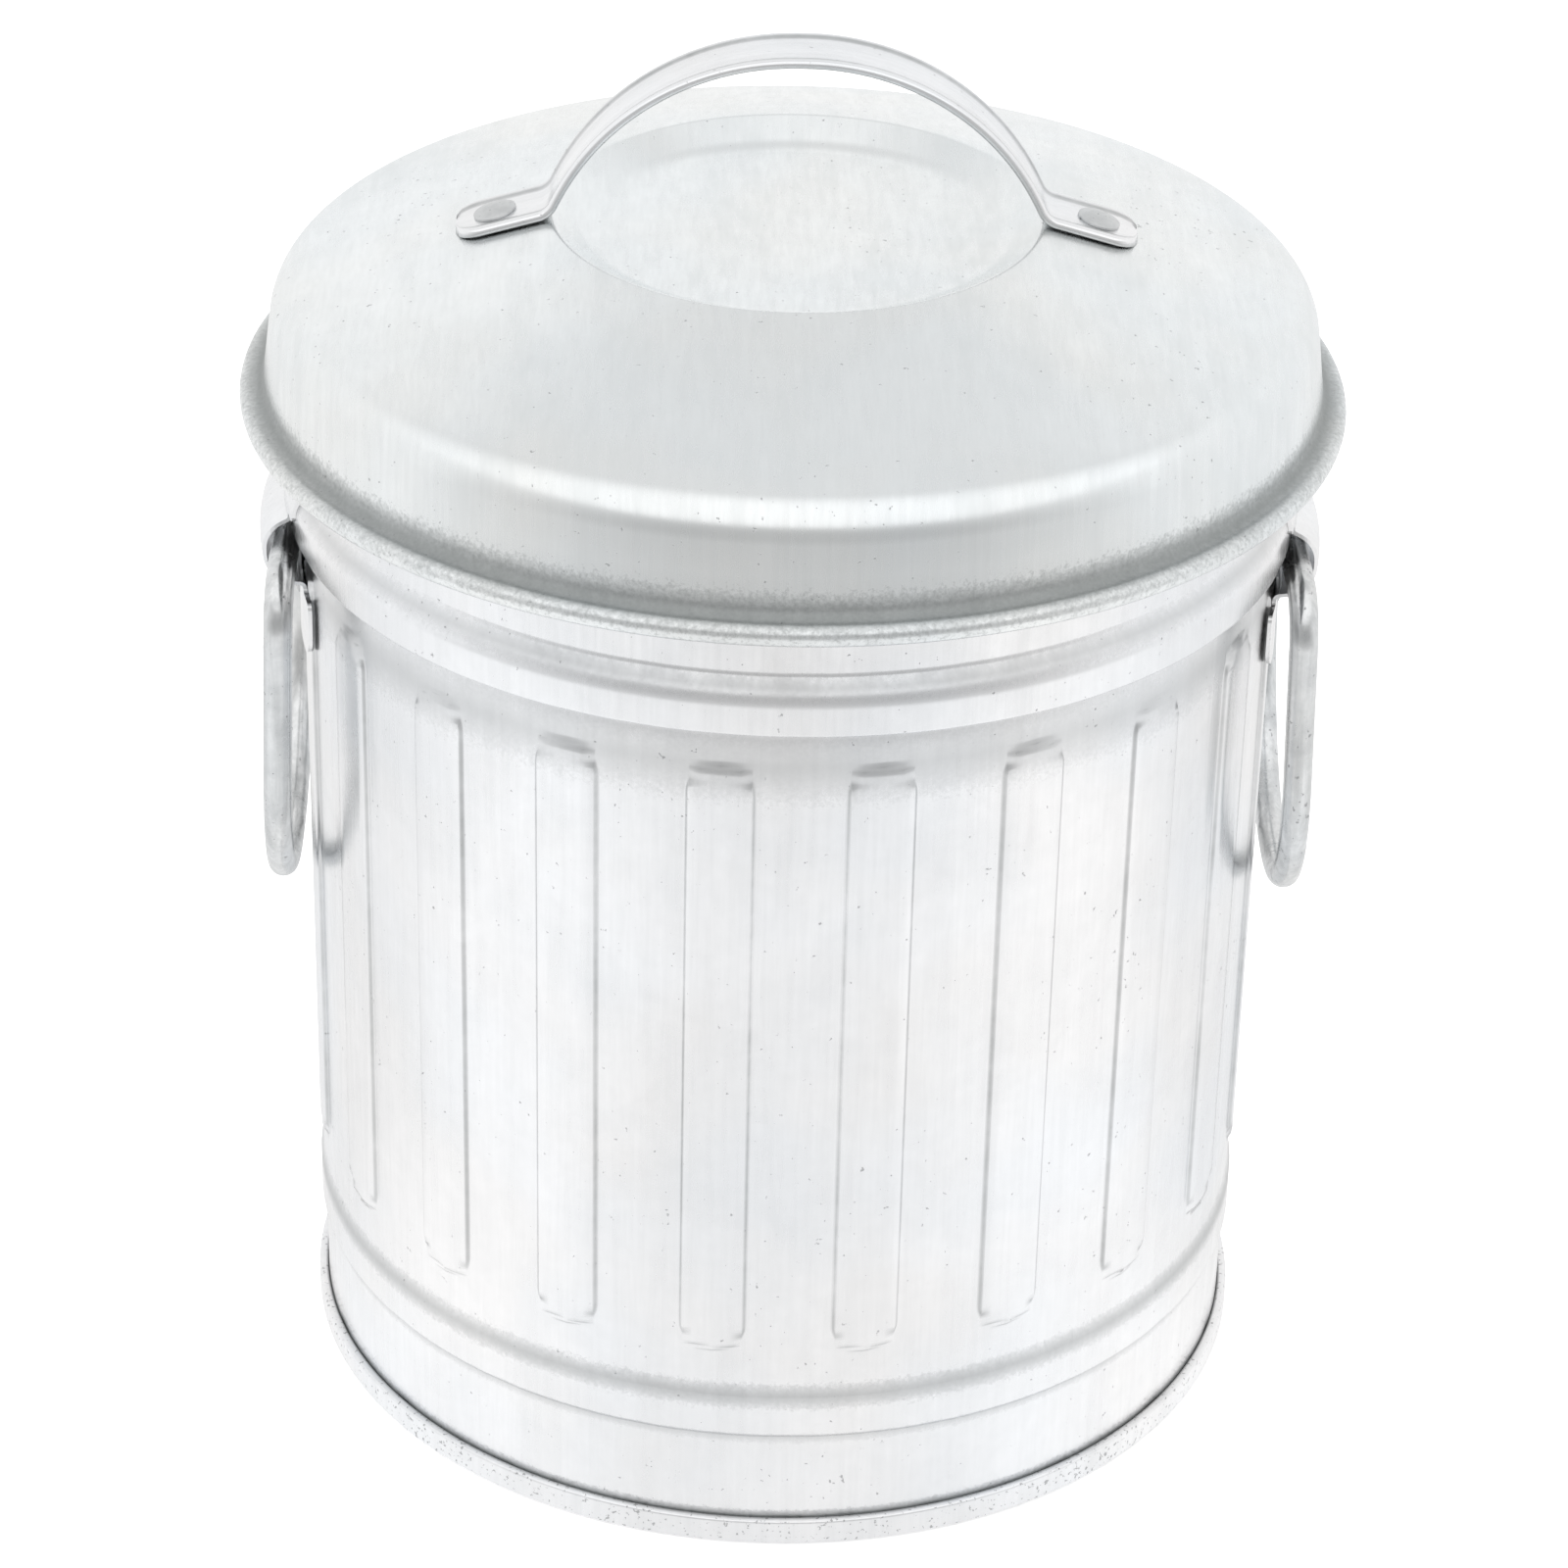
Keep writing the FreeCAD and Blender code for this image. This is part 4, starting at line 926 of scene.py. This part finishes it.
def backdrop_material():
    """A pale floor. The metal sees it white round the can and greyer far in front, where a white
    sweep ends, and the camera sees it white apart from the can's shadow."""
    material, shader, paint = new_material("pale_floor")
    looks = {"Base Color": (0.86, 0.86, 0.86), "Roughness": 0.9, "Specular IOR Level": 0.1}
    for name, value in looks.items():
        shader.put(paint.inputs[name], value)
    rays = shader.node("LightPath").outputs
    place = shader.node("TexCoord").outputs["Object"]
    away = shader.long(place)
    to_front = shader.maths("DIVIDE", shader.node("SeparateXYZ", {0: place}).outputs["Y"], away)
    front = shader.spread(to_front, -0.10, -0.90)
    far = shader.maths("MULTIPLY", front, shader.spread(away, 0.42, 0.70, 0.0, 0.36))
    sides = shader.maths("SUBTRACT", shader.spread(to_front, -0.95, -0.75, 0.0, 0.12),
                         shader.spread(to_front, -0.4, 0.1, 0.0, 0.14))
    sides = shader.maths("MULTIPLY", sides, shader.spread(away, 0.40, 0.60, 1.0, 0.0))
    tone = shader.maths("ADD", shader.maths("SUBTRACT", 0.97, far), sides)
    mirror, glow = (shader.node("Emission", {"Color": (1, 1, 1), "Strength": bright})
                    for bright in (tone, 0.30))
    both = shader.node("AddShader", {0: paint, 1: glow})
    seen = shader.node("MixShader", {0: rays["Is Camera Ray"], 1: paint, 2: both})
    mirrored = shader.node("MixShader", {0: rays["Is Glossy Ray"], 1: seen, 2: mirror})
    shader.put(material.node_tree.nodes["Material Output"].inputs["Surface"], mirrored)
    return material


def studio_world():
    """A soft room: white behind and at the sides, a brighter box over the front, a greyer ceiling
    behind it, and a grey room in front up to a third of the way."""
    world = bpy.data.worlds.new("studio")
    world.use_nodes = True
    bpy.context.scene.world = world
    shader = Shader(world.node_tree)
    out = world.node_tree.nodes["Background"]
    place = shader.node("TexCoord").outputs["Generated"]
    way = shader.node("SeparateXYZ", {0: place}).outputs
    front = shader.spread(way["Y"], -0.20, -0.85)
    room = shader.maths("MULTIPLY", front, shader.spread(way["Z"], 0.58, 0.46, 0.0, 0.44))
    box = shader.maths("MULTIPLY", shader.spread(way["Z"], 0.50, 0.62),
                       shader.spread(way["Y"], 0.24, -0.02, 0.0, 0.15))
    ceiling = shader.maths("MULTIPLY", shader.spread(way["Z"], 0.60, 0.82),
                           shader.spread(way["Y"], 0.22, 0.44, 0.0, 0.20))
    tone = shader.maths("SUBTRACT", shader.maths("ADD", 0.98, box), shader.maths("ADD", room, ceiling))
    seen = shader.node("LightPath").outputs["Is Camera Ray"]
    shader.put(out.inputs["Strength"], shader.maths("MAXIMUM", tone, seen))
    shader.put(out.inputs["Color"], (1, 1, 1))


def add_lamp(name, size, energy, place, target):
    """A soft rectangle of light that points at a spot. The metal doesn't mirror it."""
    lamp = bpy.data.lights.new(name, "AREA")
    lamp.shape = "RECTANGLE"
    lamp.size, lamp.size_y = size
    lamp.energy = energy
    made = link(name, lamp)
    made.location = place
    made.rotation_euler = (Vector(target) - Vector(place)).to_track_quat("-Z", "Y").to_euler()
    made.visible_glossy = False


def place_camera(scene, target, distance, azimuth, elevation, roll, lens):
    """A camera that looks at a point from a distance, an azimuth (0 is the front) and an elevation."""
    camera = link("camera", bpy.data.cameras.new("camera"))
    camera.data.lens = lens
    camera.data.sensor_width = 36.0
    camera.data.clip_start = 0.01
    towards = Vector((sin(azimuth) * cos(elevation), -cos(azimuth) * cos(elevation),
                      sin(elevation)))
    turn = (-towards).to_track_quat("-Z", "Y").to_matrix().to_4x4()
    place = Matrix.Translation(Vector(target) + towards * distance)
    camera.matrix_world = place @ turn @ Matrix.Rotation(roll, 4, "Z")
    scene.camera = camera


class TRASHCAN_OT_stage(bpy.types.Operator):
    """Set the floor, the light and the camera"""
    bl_idname = "trashcan.stage"
    bl_label = "Stage"

    def execute(self, context):
        scene = context.scene
        mesh = bpy.data.meshes.new("floor")
        reach, under_can = 3.0, 0.0002
        corners = [(-reach, -reach, 0), (reach, -reach, 0), (reach, reach, 0), (-reach, reach, 0)]
        mesh.from_pydata(corners, [], [(0, 1, 2, 3)])
        mesh.materials.append(backdrop_material())
        floor = link("floor", mesh)
        floor.location.z = -under_can
        studio_world()
        add_lamp("overhead_box", size=(0.9, 0.9), energy=9.0, place=(0.0, 0.15, 1.3), target=(0, 0, 0.1))
        add_lamp("left_box", size=(0.5, 0.9), energy=4.0, place=(-1.1, -0.5, 0.8), target=(0, 0, 0.12))
        place_camera(scene, target=(0, 0, 0.09665), distance=0.8968, azimuth=radians(-1.3),
                     elevation=radians(29.58), roll=radians(1.33), lens=124.5)
        scene.view_settings.view_transform = "Standard"
        return {"FINISHED"}


# ---- panel and run

OPERATORS = (TRASHCAN_OT_wall, TRASHCAN_OT_bottom, TRASHCAN_OT_lid, TRASHCAN_OT_strap, TRASHCAN_OT_ears,
             TRASHCAN_OT_rings, TRASHCAN_OT_stage)
GROUP_TYPES = {"can_sizes": CanSizes, "lid_sizes": LidSizes, "handle_sizes": HandleSizes,
               "zinc_colours": ZincColours}


class TRASHCAN_PT_panel(bpy.types.Panel):
    """The can's pieces and sizes"""
    bl_label = "Trash Can"
    bl_idname = "TRASHCAN_PT_panel"
    bl_space_type = "VIEW_3D"
    bl_region_type = "UI"
    bl_category = "Trash Can"

    def draw(self, context):
        for operator in OPERATORS:
            self.layout.operator(operator.bl_idname)
        for name, kind in GROUP_TYPES.items():
            box = self.layout.box()
            box.label(text=kind.__doc__)
            for key in kind.__annotations__:
                box.prop(getattr(context.scene, name), key)


def register():
    for kind in (*GROUP_TYPES.values(), *OPERATORS, TRASHCAN_PT_panel):
        bpy.utils.register_class(kind)
    for name, kind in GROUP_TYPES.items():
        setattr(bpy.types.Scene, name, PointerProperty(type=kind))


def unregister():
    for name in GROUP_TYPES:
        delattr(bpy.types.Scene, name)
    for kind in reversed((*GROUP_TYPES.values(), *OPERATORS, TRASHCAN_PT_panel)):
        bpy.utils.unregister_class(kind)


def main():
    register()
    for operator in OPERATORS:
        getattr(bpy.ops.trashcan, operator.bl_idname.split(".")[1])()


if __name__ == "__main__":
    main()
